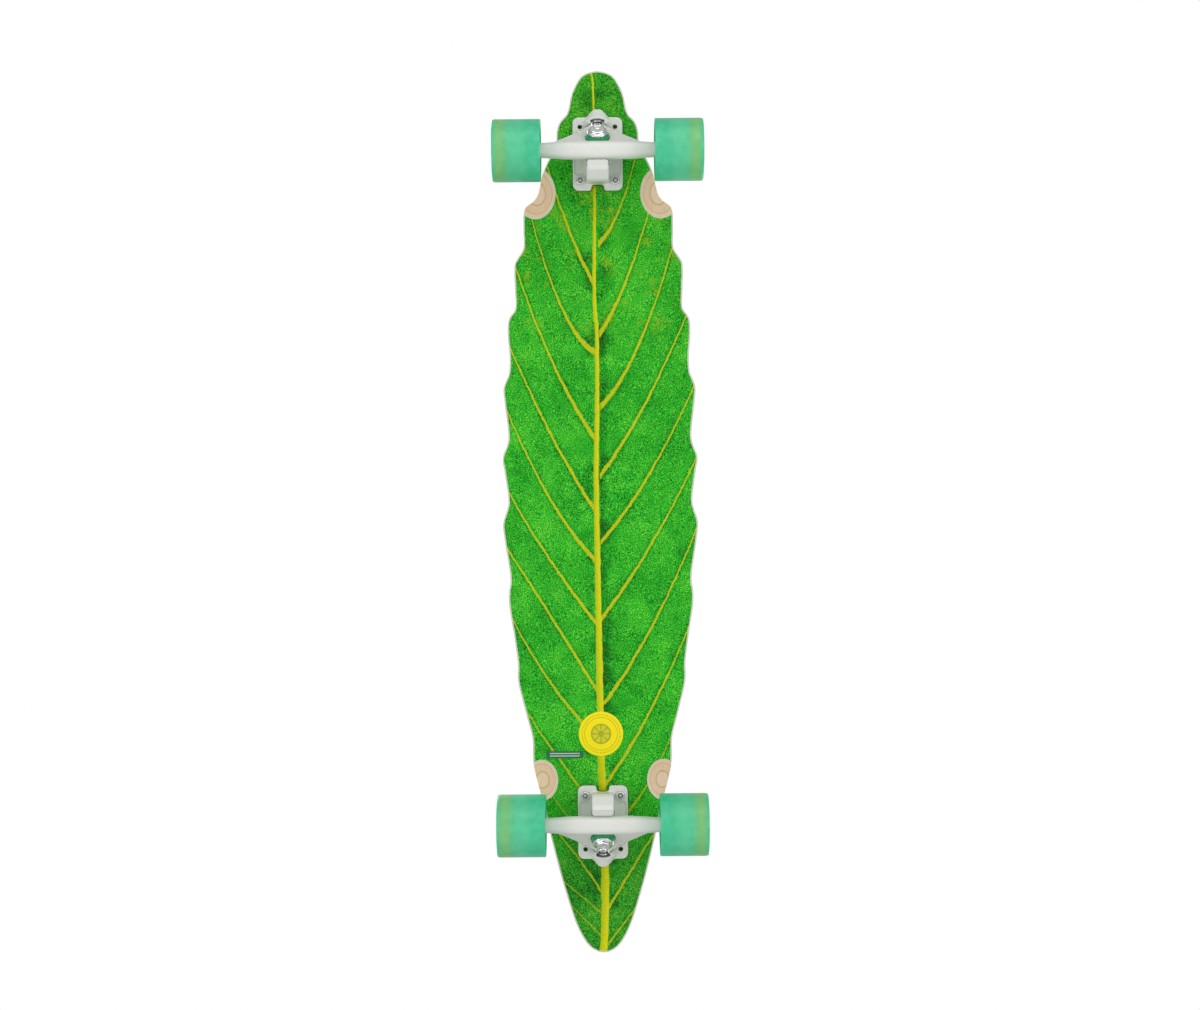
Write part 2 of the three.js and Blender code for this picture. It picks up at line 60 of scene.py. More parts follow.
TRUCKS = ("nose", "tail")
SIDES = ("left", "right")

# ---------- Sizes in millimetres ----------

DECK_THICKNESS = 11.0
PLY_THICKNESS = DECK_THICKNESS / 7
CAMBER_HEIGHT = 9.0
CAMBER_CENTRE = 27.5
CAMBER_REACH = 342.0
FLAT_HALF_WIDTH = 32.0
DISH_HEIGHT = 6.0
DISH_REACH = 83.0
ROAD_EDGE_RADIUS = 1.7
TOP_EDGE_RADIUS = 2.0
GRIP_INSET = 1.8
WELL_DEPTH = 3.5
WELL_BALL_HEIGHT = 12.0
WHEEL_WELLS = ((374.5, 78.6, 30.0, 25.0), (-315.0, 74.7, 24.0, 20.0))

PLATE_THICKNESS = 6.5
PLATE_INNER_END = -37.7
PLATE_OUTER_END = 47.9
PLATE_HALF_WIDTH = 29.25
PLATE_CORNER = 7.0
TONGUE_APEX = 57.6
TONGUE_SIDE = 304.2                # the tongue's side, as 8 along + 9 across from the bowl's centre
TONGUE = ((PLATE_OUTER_END, -15.5), (PLATE_OUTER_END, -13.0), (56.9, -5.0), (TONGUE_APEX, 0), (56.9, 5.0),
          (PLATE_OUTER_END, 13.0), (PLATE_OUTER_END, 15.5))
NOTCH_HALF_WIDTH = 7.5
NOTCH_DEPTH = 7.0
HOLE_HALF_GAUGE = 20.65
BOLT_STATIONS = (26.9, -26.9)
SPARE_HOLE_STATION = 36.6
HOLE_RADIUS = 2.7
RISER_THICKNESS = 3.0
BOWL_CENTRE = 24.5
BOWL_RADIUS = 17.0
WALL_THICKNESS = 3.8
WALL_LEVEL = -13.0
LIP_SWEEP = 62.0                   # degrees to each side of the middle
FIN_HALF_WIDTH = 12.6

SEAT_LEVEL = -21.8
SEAT_WALL = 5.0
KINGPIN_RADIUS = 4.76
RING_RADIUS = 21.0
RING_RECESS = 14.4
AXLE_REACH = 32.5
RAKE = 15.0
BAR_RADIUS = 10.4
AXLE_RADIUS = 4.0
AXLE_HALF_LENGTH = 116.0

# The leaf's edge from nose to tail: place along the board, half width there.
LEAF_EDGE = (
    (518, 0.06), (517, 7), (512, 18.2), (493, 29.4), (468, 35.8), (458, 44.1), (448, 47.6), (435, 48.5),
    (425, 51), (413, 58.2), (398, 64.6), (373, 70.9), (366, 75.8), (359, 84.6), (353, 87.3), (331, 88.1),
    (310, 88.5), (300, 94.5), (293, 98.5), (284, 99.3), (261, 98.7), (239, 99), (230, 105.2), (223, 107.3),
    (206, 107.5), (183, 105.8), (164, 106.9), (155, 110.5), (146, 113.4), (131, 112.4), (89, 108.1),
    (79, 109.9), (64, 115.2), (49, 113.2), (12, 108.7), (2, 110.8), (-13, 115.2), (-33, 113.4),
    (-80, 106.9), (-94, 108.7), (-108, 108.7), (-151, 102.2), (-180, 98.7), (-198, 98.7), (-240, 88.7),
    (-266, 82.2), (-296, 81.1), (-339, 71), (-397, 57.6), (-444, 45.2), (-491, 29.4), (-511, 16.5),
    (-517, 6.5), (-518, 0.06),
)

# The midrib: place along the board, its offset across the board.
MIDRIB = (
    (515, -7.0), (472, -4.4), (380, -4.1), (249, -5.2), (210, -2.9), (125, -3.0), (44, -4.7), (-67, -3.9),
    (-131, -3.3), (-214, -2.3), (-302, -1.1), (-423, 2.1), (-515, -0.7),
)

# Side veins: where each leaves the middle line, its slope and bend with the distance across, and the
# distances between which it shows. The last number is its strength.
RIGHT_VEINS = (
    (258.7, 1.613, 0.01474, 8, 62, 1.0), (185.9, 0.277, 0.0223, 6, 82, 1.0),
    (79.0, 1.293, 0.00871, 8, 102, 1.0), (-7.6, 1.464, 0.0044, 8, 110, 1.0),
    (-63.7, 0.944, 0.00672, 6, 112, 1.0), (-138.9, 1.227, 0.00254, 6, 112, 1.0),
    (-220.6, 1.697, -0.00082, 8, 112, 1.0), (-270.8, 0.878, 0.00479, 25, 106, 0.9),
    (-362.1, 1.37, 0.00072, 27, 88, 0.8), (-416.0, 1.4, 0.0, 40, 60, 0.5),
    (-450.5, 1.644, -0.0051, 3, 57, 0.75), (-473.4, 0.844, 0.0, 3, 46, 0.5),
    (-502.1, 1.045, 0.0, 3, 38, 0.5),
)
LEFT_VEINS = (
    (314.4, 0.815, 0.0326, 0, 45, 1.0), (208.1, 1.374, 0.01762, 1, 66, 1.0),
    (123.0, 0.903, 0.01434, 3, 94, 1.0), (42.2, 1.306, 0.00506, 0, 108, 1.0),
    (-36.6, 1.111, 0.00482, 0, 115, 1.0), (-126.2, 1.266, 0.00342, 1, 116, 1.0),
    (-228.1, 1.244, 0.00514, 2, 115, 1.0), (-324.1, 1.284, 0.00515, 4, 106, 1.0),
    (-376.9, 0.47, 0.0114, 29, 84, 0.7), (-474.9, 1.649, -0.0006, 4, 62, 0.9),
    (-515.4, 1.336, 0.0, 6, 38, 0.7),
)
STICKER_PLACE = (-261.0, -1.5)
STICKER_RADIUS = 26.0
LABEL_BOX = (-289.5, -281.0, -66.0, -22.5)     # along from and to, across from and to

# ---------- Frames ----------


def row_frame(truck):
    """A truck's own frame: X outward along the board from the axle, Z up from the base's deck side."""
    low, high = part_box(f"{truck}_axle")
    axle_x = (low.x + high.x) / 2
    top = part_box(f"{truck}_baseplate")[1].z
    turn = 0 if axle_x > 0 else math.pi
    place = Matrix.Translation((axle_x, 0, top))
    return place @ Matrix.Rotation(turn, 4, "Z") @ Matrix.Scale(MM, 4)


def kingpin_frame(truck):
    """Inside a truck's frame: Z down the kingpin to its nut, X along the pivot axis to the pivot cup."""
    steer = next(joint for joint in frame["joints"] if joint["name"] == f"{truck}_steer")
    inward = row_frame(truck).inverted()
    pivot = inward @ Vector(steer["pos_m"])
    along = -(inward.to_3x3() @ Vector(steer["axis"])).normalized()
    across = Vector((0, 1, 0))
    down = along.cross(across)
    turn = Matrix((along, across, down)).transposed().to_4x4()
    return Matrix.Translation(pivot) @ turn


def wheel_frame(truck, side):
    """Inside a truck's frame: Z out along the axle from the wheel's middle."""
    low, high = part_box(f"{truck}_{side}_wheel")
    middle = row_frame(truck).inverted() @ ((low + high) / 2)
    outward = 1 if middle.y > 0 else -1
    return Matrix.Translation(middle) @ Matrix.Rotation(-outward * math.pi / 2, 4, "X")


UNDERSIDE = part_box("nose_riser_pad")[1].z / MM + 0.05
ROW_FRAME = Matrix.Scale(MM, 4)
ALONG_PIVOT = Matrix.Rotation(math.pi / 2, 4, "Y")
ACROSS_BOARD = Matrix.Rotation(-math.pi / 2, 4, "X")

# ---------- Shapes ----------


class Shape:
    """Points and faces in millimetres, with the number of a surface finish for each face."""

    def __init__(self, points=(), faces=(), finish=0):
        self.points = [Vector(point) for point in points]
        self.faces = [tuple(face) for face in faces]
        self.finishes = [finish] * len(self.faces)

    def add(self, *others):
        for other in others:
            start = len(self.points)
            self.points += [point.copy() for point in other.points]
            self.faces += [tuple(start + i for i in face) for face in other.faces]
            self.finishes += other.finishes
        return self

    def moved(self, matrix):
        copy = Shape()
        copy.points = [matrix @ point for point in self.points]
        copy.faces = list(self.faces)
        copy.finishes = list(self.finishes)
        return copy

    def at(self, x, y, z=0):
        return self.moved(Matrix.Translation((x, y, z)))

    def copied(self, places):
        """One shape with a copy at each place."""
        return Shape().add(*(self.at(*place) for place in places))


def eased(points, radius, steps=4, closed=True):
    """Rounds an outline's corners by short curves."""
    result = []
    for i, corner in enumerate(points):
        if not closed and i in (0, len(points) - 1):
            result.append(Vector(corner))
            continue
        here = Vector(corner)
        before = Vector(points[i - 1]) - here
        after = Vector(points[(i + 1) % len(points)]) - here
        reach = min(radius, before.length / 2.1, after.length / 2.1)
        start = here + before.normalized() * reach
        end = here + after.normalized() * reach
        for k in range(steps + 1):
            t = k / steps
            result.append(start * (1 - t) ** 2 + here * 2 * t * (1 - t) + end * t ** 2)
    return result


def revolve(profile, segments=64, closed=True, finish=0):
    """Turns a profile of (radius, height) about Z. An open profile starts and ends on the axis."""
    count = len(profile)
    points = []
    for k in range(segments):
        turn = 2 * math.pi * k / segments
        points += [(r * math.cos(turn), r * math.sin(turn), z) for r, z in profile]
    faces = []
    for k in range(segments):
        here, after = k * count, (k + 1) % segments * count
        for i in range(count if closed else count - 1):
            j = (i + 1) % count
            faces.append((here + i, here + j, after + j, after + i))
    return Shape(points, faces, finish)


def rod(radius, low, high, segments=48, bevel=0.0, finish=0):
    profile = [(0, low), (radius - bevel, low), (radius, low + bevel),
               (radius, high - bevel), (radius - bevel, high), (0, high)]
    return revolve(profile, segments, closed=False, finish=finish)


def loft(sections):
    """Joins rings of equally many points, and closes both ends."""
    count = len(sections[0])
    points = [point for section in sections for point in section]
    faces = []
    for k in range(len(sections) - 1):
        for i in range(count):
            j = (i + 1) % count
            low, high = k * count, (k + 1) * count
            faces.append((low + i, low + j, high + j, high + i))
    last = (len(sections) - 1) * count
    faces.append(tuple(reversed(range(count))))
    faces.append(tuple(range(last, last + count)))
    return Shape(points, faces)


def inset(outline, distance):
    """Moves an anticlockwise outline inward."""
    result = []
    for i, corner in enumerate(outline):
        here = Vector(corner)
        before = (here - Vector(outline[i - 1])).normalized()
        after = (Vector(outline[(i + 1) % len(outline)]) - here).normalized()
        inward = (before + after).normalized().orthogonal()
        share = max(0.5, abs(inward.dot(before.orthogonal())))
        result.append(here + inward * distance / share)
    return result


def prism(outline, low, high, bevel=0.0):
    """An anticlockwise outline drawn out along Z, with its end edges taken off."""
    levels = [(inset(outline, bevel), low), (outline, low + bevel),
              (outline, high - bevel), (inset(outline, bevel), high)]
    if not bevel:
        levels = levels[1:3]
    return loft([[(p[0], p[1], z) for p in ring] for ring, z in levels])


def arc(x, y, radius, start, end, steps=12):
    """Points of an arc, between two angles in degrees."""
    angles = [math.radians(start + (end - start) * k / steps) for k in range(steps + 1)]
    return [(x + radius * math.cos(a), y + radius * math.sin(a)) for a in angles]


def arc_strip(x, inner, outer, start, end, low, high, steps=16):
    """Part of a ring about (x, 0), drawn out along Z."""
    return prism(arc(x, 0, outer, start, end, steps) + arc(x, 0, inner, end, start, steps), low, high)


def box(low, high):
    corners = [(low[0], low[1]), (high[0], low[1]), (high[0], high[1]), (low[0], high[1])]
    return prism(corners, low[2], high[2])


def hexagon(across_flats):
    corner = across_flats / math.sqrt(3)
    return [(corner * math.cos(k * math.pi / 3), corner * math.sin(k * math.pi / 3)) for k in range(6)]


def thread(radius, low, high, pitch=1.1, depth=0.42):
    """The zigzag of a thread's crests and roots, upward."""
    turns = max(1, round((high - low) / pitch))
    step = (high - low) / turns
    points = []
    for k in range(turns):
        points += [(radius - depth, low + k * step), (radius, low + (k + 0.5) * step)]
    return points + [(radius - depth, high)]


FINISHES = 3


def as_mesh(name, shape, materials=(None,) * FINISHES):
    mesh = bpy.data.meshes.new(name)
    mesh.from_pydata([tuple(point) for point in shape.points], [], shape.faces)
    for material in materials:
        mesh.materials.append(material)
    mesh.polygons.foreach_set("material_index", shape.finishes)
    work = bmesh.new()
    work.from_mesh(mesh)
    bmesh.ops.remove_doubles(work, verts=work.verts, dist=1e-3)
    bmesh.ops.dissolve_degenerate(work, edges=work.edges, dist=1e-4)
    bmesh.ops.recalc_face_normals(work, faces=work.faces)
    work.to_mesh(mesh)
    work.free()
    return mesh


def as_shape(mesh):
    shape = Shape([vertex.co for vertex in mesh.vertices], [face.vertices for face in mesh.polygons])
    shape.finishes = [face.material_index for face in mesh.polygons]
    return shape


def worked(shape, steps):
    """The shape after a list of steps: (boolean operation, tool shape), or (modifier type, settings)."""
    body = placed("work", as_mesh("work", shape))
    tools = []
    for kind, value in steps:
        if kind in ("UNION", "DIFFERENCE", "INTERSECT"):
            tools.append(placed("tool", as_mesh("tool", value)))
            modifier = body.modifiers.new(kind, "BOOLEAN")
            modifier.operation = kind
            modifier.object = tools[-1]
            modifier.solver = "MANIFOLD"
        else:
            modifier = body.modifiers.new(kind, kind)
            for setting, number in value.items():
                setattr(modifier, setting, number)
    bpy.context.view_layer.update()
    evaluated = body.evaluated_get(bpy.context.evaluated_depsgraph_get())
    mesh = bpy.data.meshes.new_from_object(evaluated)
    result = as_shape(mesh)
    for used in (body, *tools):
        data = used.data
        bpy.data.objects.remove(used)
        bpy.data.meshes.remove(data)
    bpy.data.meshes.remove(mesh)
    return result


def cast(lumps, hollows, cuts, grain, rounding):
    """A casting: lumps run together and hollows between them get round edges, and cuts stay crisp."""
    first, *others = lumps
    rough = worked(first, [("UNION", lump) for lump in others] + [("DIFFERENCE", h) for h in hollows])
    round_edges = [("REMESH", {"mode": "VOXEL", "voxel_size": grain, "adaptivity": 0.0}),
                   ("SMOOTH", {"factor": 0.5, "iterations": rounding})]
    return worked(rough, round_edges + [("DIFFERENCE", cut) for cut in cuts])


# ---------- Pieces ----------


def placed(name, data):
    obj = bpy.data.objects.new(name, data)
    bpy.context.scene.collection.objects.link(obj)
    return obj


def piece(name, shape, place, materials, slot, body, nodes=(), sharp=40, bend=None):
    """Makes an object of a shape, hides the CAD nodes it stands for, and hangs it on the body it rides on. One
    that bends hangs on no body: its place is baked into its mesh."""
    mesh = as_mesh(name, shape, materials)
    mesh.transform(place)
    mesh.polygons.foreach_set("use_smooth", [True] * len(mesh.polygons))
    mesh.set_sharp_from_angle(angle=math.radians(sharp))
    obj = placed(name, mesh)
    if bend:
        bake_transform(obj)
    else:
        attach(obj, body)
    if nodes:
        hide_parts(*nodes)
    return obj


# ---------- Material nodes ----------


class Field:
    """A number, vector, colour or shader that varies over a surface: one output of a node."""

    def __init__(self, nodes, socket):
        self.nodes = nodes
        self.socket = socket

    def __add__(self, other):
        return self.nodes.math("ADD", self, other)

    def __sub__(self, other):
        return self.nodes.math("SUBTRACT", self, other)

    def __mul__(self, other):
        return self.nodes.math("MULTIPLY", self, other)

    def __truediv__(self, other):
        return self.nodes.math("DIVIDE", self, other)

    def __abs__(self):
        return self.nodes.math("ABSOLUTE", self)

    def over(self, limit):
        """1 where the value is over the limit, and 0 elsewhere."""
        return self.nodes.math("GREATER_THAN", self, limit)

    def step(self, low, high, start=0.0, end=1.0, kind="SMOOTHSTEP"):
        """Runs smoothly from start to end as the value goes from low to high."""
        return self.nodes.field("MapRange", self, low, high, start, end, interpolation_type=kind)

    def ramp(self, low, high, start, end):
        """Runs straight from start to end as the value goes from low to high."""
        return self.step(low, high, start, end, "LINEAR")


class Nodes:
    """The nodes of a material or a world. Any input may be a field, a number or a colour."""

    def __init__(self, owner):
        owner.use_nodes = True
        self.tree = owner.node_tree
        self.tree.nodes.clear()

    def make(self, kind, **settings):
        node = self.tree.nodes.new("ShaderNode" + kind)
        for setting, value in settings.items():
            setattr(node, setting, value)
        return node

    def feed(self, socket, value):
        if isinstance(value, Field):
            self.tree.links.new(value.socket, socket)
        elif socket.type == "RGBA":
            socket.default_value = (*value, 1.0)
        else:
            socket.default_value = value

    def fill(self, node, **inputs):
        """Feeds inputs by name, with _ for a space, and gives the node's first output."""
        for name, value in inputs.items():
            self.feed(node.inputs[name.replace("_", " ")], value)
        return Field(self, node.outputs[0]) if node.outputs else None

    def field(self, kind, *values, output=0, **settings):
        """Makes a node, feeds its inputs in order, and gives one of its outputs."""
        node = self.make(kind, **settings)
        for socket, value in zip(node.inputs, values):
            self.feed(socket, value)
        return Field(self, node.outputs[output])

    def math(self, operation, *values):
        return self.field("Math", *values, operation=operation)

    def vector(self, operation, *values):
        return self.field("VectorMath", *values, operation=operation)

    def split(self, vector):
        node = self.make("SeparateXYZ")
        self.fill(node, Vector=vector)
        return [Field(self, socket) for socket in node.outputs]

    def mix(self, share, first, second, blend="MIX"):
        node = self.make("Mix", data_type="RGBA", blend_type=blend)
        for socket, value in ((0, share), (6, first), (7, second)):
            self.feed(node.inputs[socket], value)
        return Field(self, node.outputs[2])

    def bands(self, value, stops):
        """Colours along a value: a place and a colour for each stop."""
        node = self.make("ValToRGB")
        elements = node.color_ramp.elements
        while len(elements) < len(stops):
            elements.new(0.5)
        for element, (place, colour) in zip(elements, stops):
            element.position = place
            element.color = (*colour, 1.0)
        self.feed(node.inputs[0], value)
        return Field(self, node.outputs[0])

    def show(self, kind, shader):
        self.fill(self.make(f"Output{kind}"), Surface=shader)


class Surface(Nodes):
    """A piece's material, laid out in the row frame in millimetres."""

    def __init__(self, name):
        self.material = bpy.data.materials.new(name)
        super().__init__(self.material)
        self.shader = self.make("BsdfPrincipled")
        self.show("Material", Field(self, self.shader.outputs[0]))
        place = self.field("TexCoord", output="Object")
        self.place = self.fill(self.make("VectorMath", operation="SCALE"), Vector=place, Scale=1 / MM)
        self.x, self.y, self.z = self.split(self.place)

    def noise(self, size, detail=2.0, roughness=0.5, place=None, stretch=None):
        """Noise whose features are about size millimetres, narrower where stretch is larger."""
        place = place or self.place
        if stretch:
            place = self.vector("MULTIPLY", place, stretch)
        node = self.make("TexNoise", normalize=True)
        return self.fill(node, Vector=place, Scale=1 / size, Detail=detail, Roughness=roughness)

    def cells(self, size, feature="F1"):
        node = self.make("TexVoronoi", feature=feature)
        return self.fill(node, Vector=self.place, Scale=1 / size)

    def curve(self, value, points, low, high):
        """A curve through points, from points[-1] to points[0]. Its results lie between low and high."""
        first, last = points[-1][0], points[0][0]
        node = self.make("FloatCurve")
        handles = node.mapping.curves[0].points
        places = sorted(((x - first) / (last - first), (y - low) / (high - low)) for x, y in points)
        handles[0].location = places[0]
        handles[1].location = places[-1]
        for place in places[1:-1]:
            handles.new(*place)
        node.mapping.update()
        return self.fill(node, Value=value.ramp(first, last, 0.0, 1.0)).ramp(0.0, 1.0, low, high)

    def bump(self, height, depth, strength=1.0):
        """Dents the surface by a height from 0 to 1, over a depth in millimetres."""
        normal = self.fill(self.make("Bump"), Strength=strength, Distance=depth * MM, Height=height)
        self.fill(self.shader, Normal=normal)

    def done(self, colour, roughness, **inputs):
        self.fill(self.shader, Base_Color=colour, Roughness=roughness, **inputs)
        return self.material

    def height_in_deck(self):
        """Height above the deck's underside as it was pressed, in millimetres."""
        share = self.math("MINIMUM", abs((self.x - CAMBER_CENTRE) / CAMBER_REACH), 1.0)
        arch = self.math("COSINE", share * (math.pi / 2))
        outside = self.math("MAXIMUM", abs(self.y) - FLAT_HALF_WIDTH, 0.0) / DISH_REACH
        rise = arch * arch * CAMBER_HEIGHT + outside * outside * DISH_HEIGHT
        return self.z - rise - UNDERSIDE

    def around(self, along, across, middle):
        """The distance and the angle from a middle, in the plane of two coordinates."""
        one, other = along - middle[0], across - middle[1]
        distance = self.math("SQRT", self.math("MULTIPLY_ADD", one, one, other * other))
        return distance, self.math("ARCTAN2", one, other)


# ---------- Materials ----------


def vein_mask(nodes, veins, along, across, side):
    """How far a point is inside a side vein, and inside the shade beside it. Three veins ride in a vector."""
    inside, shade = 0.0, 0.0
    ragged = nodes.noise(2.2, 2.0).ramp(0.3, 0.7, -0.4, 0.4)
    padded = list(veins) + [(9999, 0, 0, 0, 1, 0)] * (-len(veins) % 3)
    away = nodes.field("CombineXYZ", across, across, across)
    along = nodes.field("CombineXYZ", along, along, along)
    for k in range(0, len(padded), 3):
        start, slope, bend, near, far, strength = zip(*padded[k:k + 3])
        lean = nodes.vector("MULTIPLY_ADD", away, bend, slope)
        line = nodes.vector("MULTIPLY_ADD", away, lean, start)
        gap = nodes.vector("ABSOLUTE", nodes.vector("SUBTRACT", along, line))
        tilt = [math.hypot(1, s + b * (n + f)) for s, b, n, f in zip(slope, bend, near, far)]
        gaps = nodes.split(nodes.vector("DIVIDE", gap, tilt))
        lengths = [f - n for n, f in zip(near, far)]
        shown = nodes.vector("DIVIDE", nodes.vector("SUBTRACT", far, away), lengths)
        # What is left of a vein's length is 1 at its root and 0 at its end.
        for gap, left, strong in zip(gaps, nodes.split(shown), strength):
            if not strong:
                continue
            share = 0.3 + 0.7 * strong
            width = left.ramp(0.0, 1.0, 0.85 * share, 1.65 * share) + ragged
            ends = left.step(0.0, 0.02) * left.step(1.0, 1.06, 1.0, 0.0) * side
            past = gap - width
            inside = nodes.math("MAXIMUM", inside, past.step(-0.5, 0.5, strong, 0.0) * ends)
            shade = nodes.math("MAXIMUM", shade, past.step(0.3, 5.0, strong, 0.0) * ends)
    return inside, shade


def leaf_ground(nodes, from_rib, is_left, shade):
    """The leaf between its veins: dark and light specks over soft patches."""
    speck = nodes.noise(1.15, 1.0, 0.6)
    patch = nodes.noise(55.0, 3.0, 0.55)
    mottle = nodes.noise(11.0, 2.0)
    tone = speck + patch.ramp(0.3, 0.7, -0.045, 0.065) + mottle.ramp(0.3, 0.7, -0.02, 0.025)
    dark_side = from_rib.step(3.0, 16.0, 1.0, 0.0) * is_left
    dark_side = dark_side * nodes.x.step(260.0, 200.0) * nodes.x.step(-250.0, -200.0)
    tone -= dark_side * 0.11
    beyond = nodes.vector("ADD", nodes.place, (0.0, 500.0, 0.0))
    smudge = nodes.noise(24.0, 2.0, place=beyond).step(0.46, 0.68)
    tone -= smudge * abs(from_rib).step(4.0, 30.0, 0.13, 0.02)
    tone -= shade * 0.06
    ground = nodes.bands(tone, ((0.28, (0.001, 0.06, 0.004)), (0.41, (0.002, 0.23, 0.010)),
                                (0.50, (0.006, 0.45, 0.018)), (0.59, (0.030, 0.58, 0.022)),
                                (0.72, (0.26, 0.80, 0.07))))
    elsewhere = nodes.vector("ADD", nodes.place, (300.0, 0.0, 0.0))
    warm_specks = nodes.noise(1.3, 1.0, place=elsewhere).step(0.54, 0.72)
    warmth = nodes.x.step(100.0, 330.0, 0.28, 0.50) + patch.step(0.4, 0.7, 0.0, 0.15)
    ground = nodes.mix(warm_specks * warmth, ground, (0.17, 0.42, 0.006))

    # Yellow blotches towards the nose, and an olive cast at both tips.
    near_nose = nodes.x.step(150.0, 290.0) * nodes.x.step(410.0, 365.0)
    blotch = nodes.noise(26.0, 2.0).step(0.52, 0.70)
    grainy = nodes.noise(2.6, 1.0).step(0.40, 0.66)
    ground = nodes.mix(near_nose * blotch * grainy * 0.9, ground, (0.36, 0.46, 0.006))
    for start, end, strength, cast_of in ((405.0, 490.0, 0.60, (1.0, 0.62, 0.6)),
                                          (-350.0, -430.0, 0.62, (0.8, 0.50, 0.6))):
        tip = nodes.x.step(start, end) * strength
        ground = nodes.mix(tip, ground, nodes.mix(1.0, ground, cast_of, "MULTIPLY"))

    # A faint net of the finest veins.
    net = nodes.cells(9.0, "DISTANCE_TO_EDGE").step(0.0, 0.05, 0.14, 0.0)
    return nodes.mix(net, ground, (0.16, 0.56, 0.03)), speck


def leaf_print():
    """A printed photograph-like leaf: speckled green, a yellow midrib and side veins."""
    nodes = Surface("leaf_print")
    x = nodes.x + nodes.noise(14.0, 3.0).ramp(0.0, 1.0, -2.2, 2.2)
    y = nodes.y + nodes.noise(9.0, 2.0).ramp(0.0, 1.0, -1.0, 1.0)
    from_rib = y - nodes.curve(x, MIDRIB, -10.0, 10.0)
    half_rib = x.ramp(-340.0, 518.0, 4.4, 1.1)
    rib = (abs(from_rib) - half_rib).step(-0.5, 0.5, 1.0, 0.0)

    is_left = y.over(0.0)
    is_right = nodes.math("SUBTRACT", 1.0, is_left)
    across = abs(y)
    left_in, left_shade = vein_mask(nodes, LEFT_VEINS, x, across, is_left)
    right_in, right_shade = vein_mask(nodes, RIGHT_VEINS, x, across, is_right)
    veins = nodes.math("MAXIMUM", left_in, right_in)
    ground, speck = leaf_ground(nodes, from_rib, is_left, nodes.math("MAXIMUM", left_shade, right_shade))

    flecks = nodes.noise(1.3, 1.0).step(0.35, 0.65, 0.55, 1.0)
    vein_colour = nodes.mix(flecks, (0.20, 0.38, 0.006), (0.66, 0.66, 0.010))
    colour = nodes.mix(veins * 0.9, ground, vein_colour)
    rib_colour = nodes.mix(flecks, (0.42, 0.50, 0.006), (0.74, 0.73, 0.010))
    shine = (from_rib / half_rib).step(-1.0, 0.6)
    rib_colour = nodes.mix(shine, nodes.mix(1.0, rib_colour, (0.72, 0.80, 0.9), "MULTIPLY"), rib_colour)
    colour = nodes.mix(rib, colour, rib_colour)
    nodes.bump(nodes.noise(2.5, 2.0), 0.03, 0.35)
    return nodes.done(colour, speck.step(0.3, 0.7, 0.5, 0.4), Coat_Weight=0.03, Coat_Roughness=0.3,
                      Specular_IOR_Level=0.09)


def maple_ply(name, bare_from):
    """The laminate where it is cut: maple grain, with a brown glue line between plies. The first ply is
    lacquered up to a height, given in plies."""
    nodes = Surface(name)
    level = (nodes.height_in_deck() + nodes.noise(18.0, 2.0).ramp(0.0, 1.0, -0.16, 0.16)) / PLY_THICKNESS
    line = nodes.math("PINGPONG", level, 0.5).step(0.02, 0.11, 1.0, 0.0) * level.step(0.3, 0.7)
    grain = nodes.noise(3.2, 4.0, 0.65, stretch=(0.05, 1.0, 1.0))
    pores = nodes.noise(0.7, 2.0, stretch=(0.06, 1.0, 1.0)).step(0.60, 0.72)
    odd = nodes.math("PINGPONG", nodes.math("FLOOR", level), 1.0).over(0.5)
    pale = nodes.mix(grain, (0.84, 0.56, 0.36), (0.98, 0.75, 0.55))
    warm = nodes.mix(grain, (0.80, 0.52, 0.32), (0.96, 0.70, 0.48))
    wood = nodes.mix(pores * 0.35, nodes.mix(odd, pale, warm), (0.42, 0.25, 0.12))
    colour = nodes.mix(line * 0.5, wood, (0.50, 0.26, 0.13))
    colour = nodes.mix(level.step(bare_from - 0.18, bare_from, 0.85, 0.0), colour, (0.66, 0.69, 0.58))
    nodes.bump(grain, 0.12, 0.4)
    return nodes.done(colour, grain.step(0.2, 0.8, 0.55, 0.4), Coat_Weight=0.35, Coat_Roughness=0.2)


def grip_grit():
    """Black grit with a few grains painted lighter as a painted glint, greyed in patches."""
    nodes = Surface("grip_grit")
    glint = nodes.noise(0.7, 1.0).step(0.62, 0.78)
    worn = nodes.noise(90.0, 4.0, 0.6).step(0.45, 0.75)
    # The glinting grains are painted lighter: a painted glint. Their lower roughness is kept as well.
    colour = nodes.mix(glint, (0.010, 0.010, 0.011), (0.09, 0.09, 0.095))
    colour = nodes.mix(worn * 0.35, colour, (0.045, 0.043, 0.040))
    nodes.bump(nodes.cells(0.55), 0.35, 0.9)
    return nodes.done(colour, glint.step(0.0, 1.0, 0.95, 0.55))


def white_casting():
    """White powder coat on cast aluminium: a fine orange peel, and a little grime in soft patches."""
    nodes = Surface("white_casting")
    patches = nodes.noise(16.0, 3.0, 0.6)
    colour = nodes.mix(patches.step(0.50, 0.78, 0.0, 0.22), (0.80, 0.81, 0.755), (0.62, 0.63, 0.56))
    nodes.bump(nodes.noise(1.3, 2.0, 0.5), 0.08, 0.35)
    return nodes.done(colour, patches.step(0.3, 0.7, 0.34, 0.46), Coat_Weight=0.3, Coat_Roughness=0.18)


def machined_face():
    """Bare aluminium where the casting is machined: turned rings too fine to see apart."""
    nodes = Surface("machined_face")
    marks = nodes.noise(0.6, 2.0, stretch=(1.0, 1.0, 0.2))
    nodes.bump(marks, 0.02, 0.4)
    colour = nodes.mix(marks, (0.62, 0.63, 0.62), (0.78, 0.79, 0.78))
    return nodes.done(colour, marks.step(0.3, 0.7, 0.28, 0.42), Metallic=1.0)


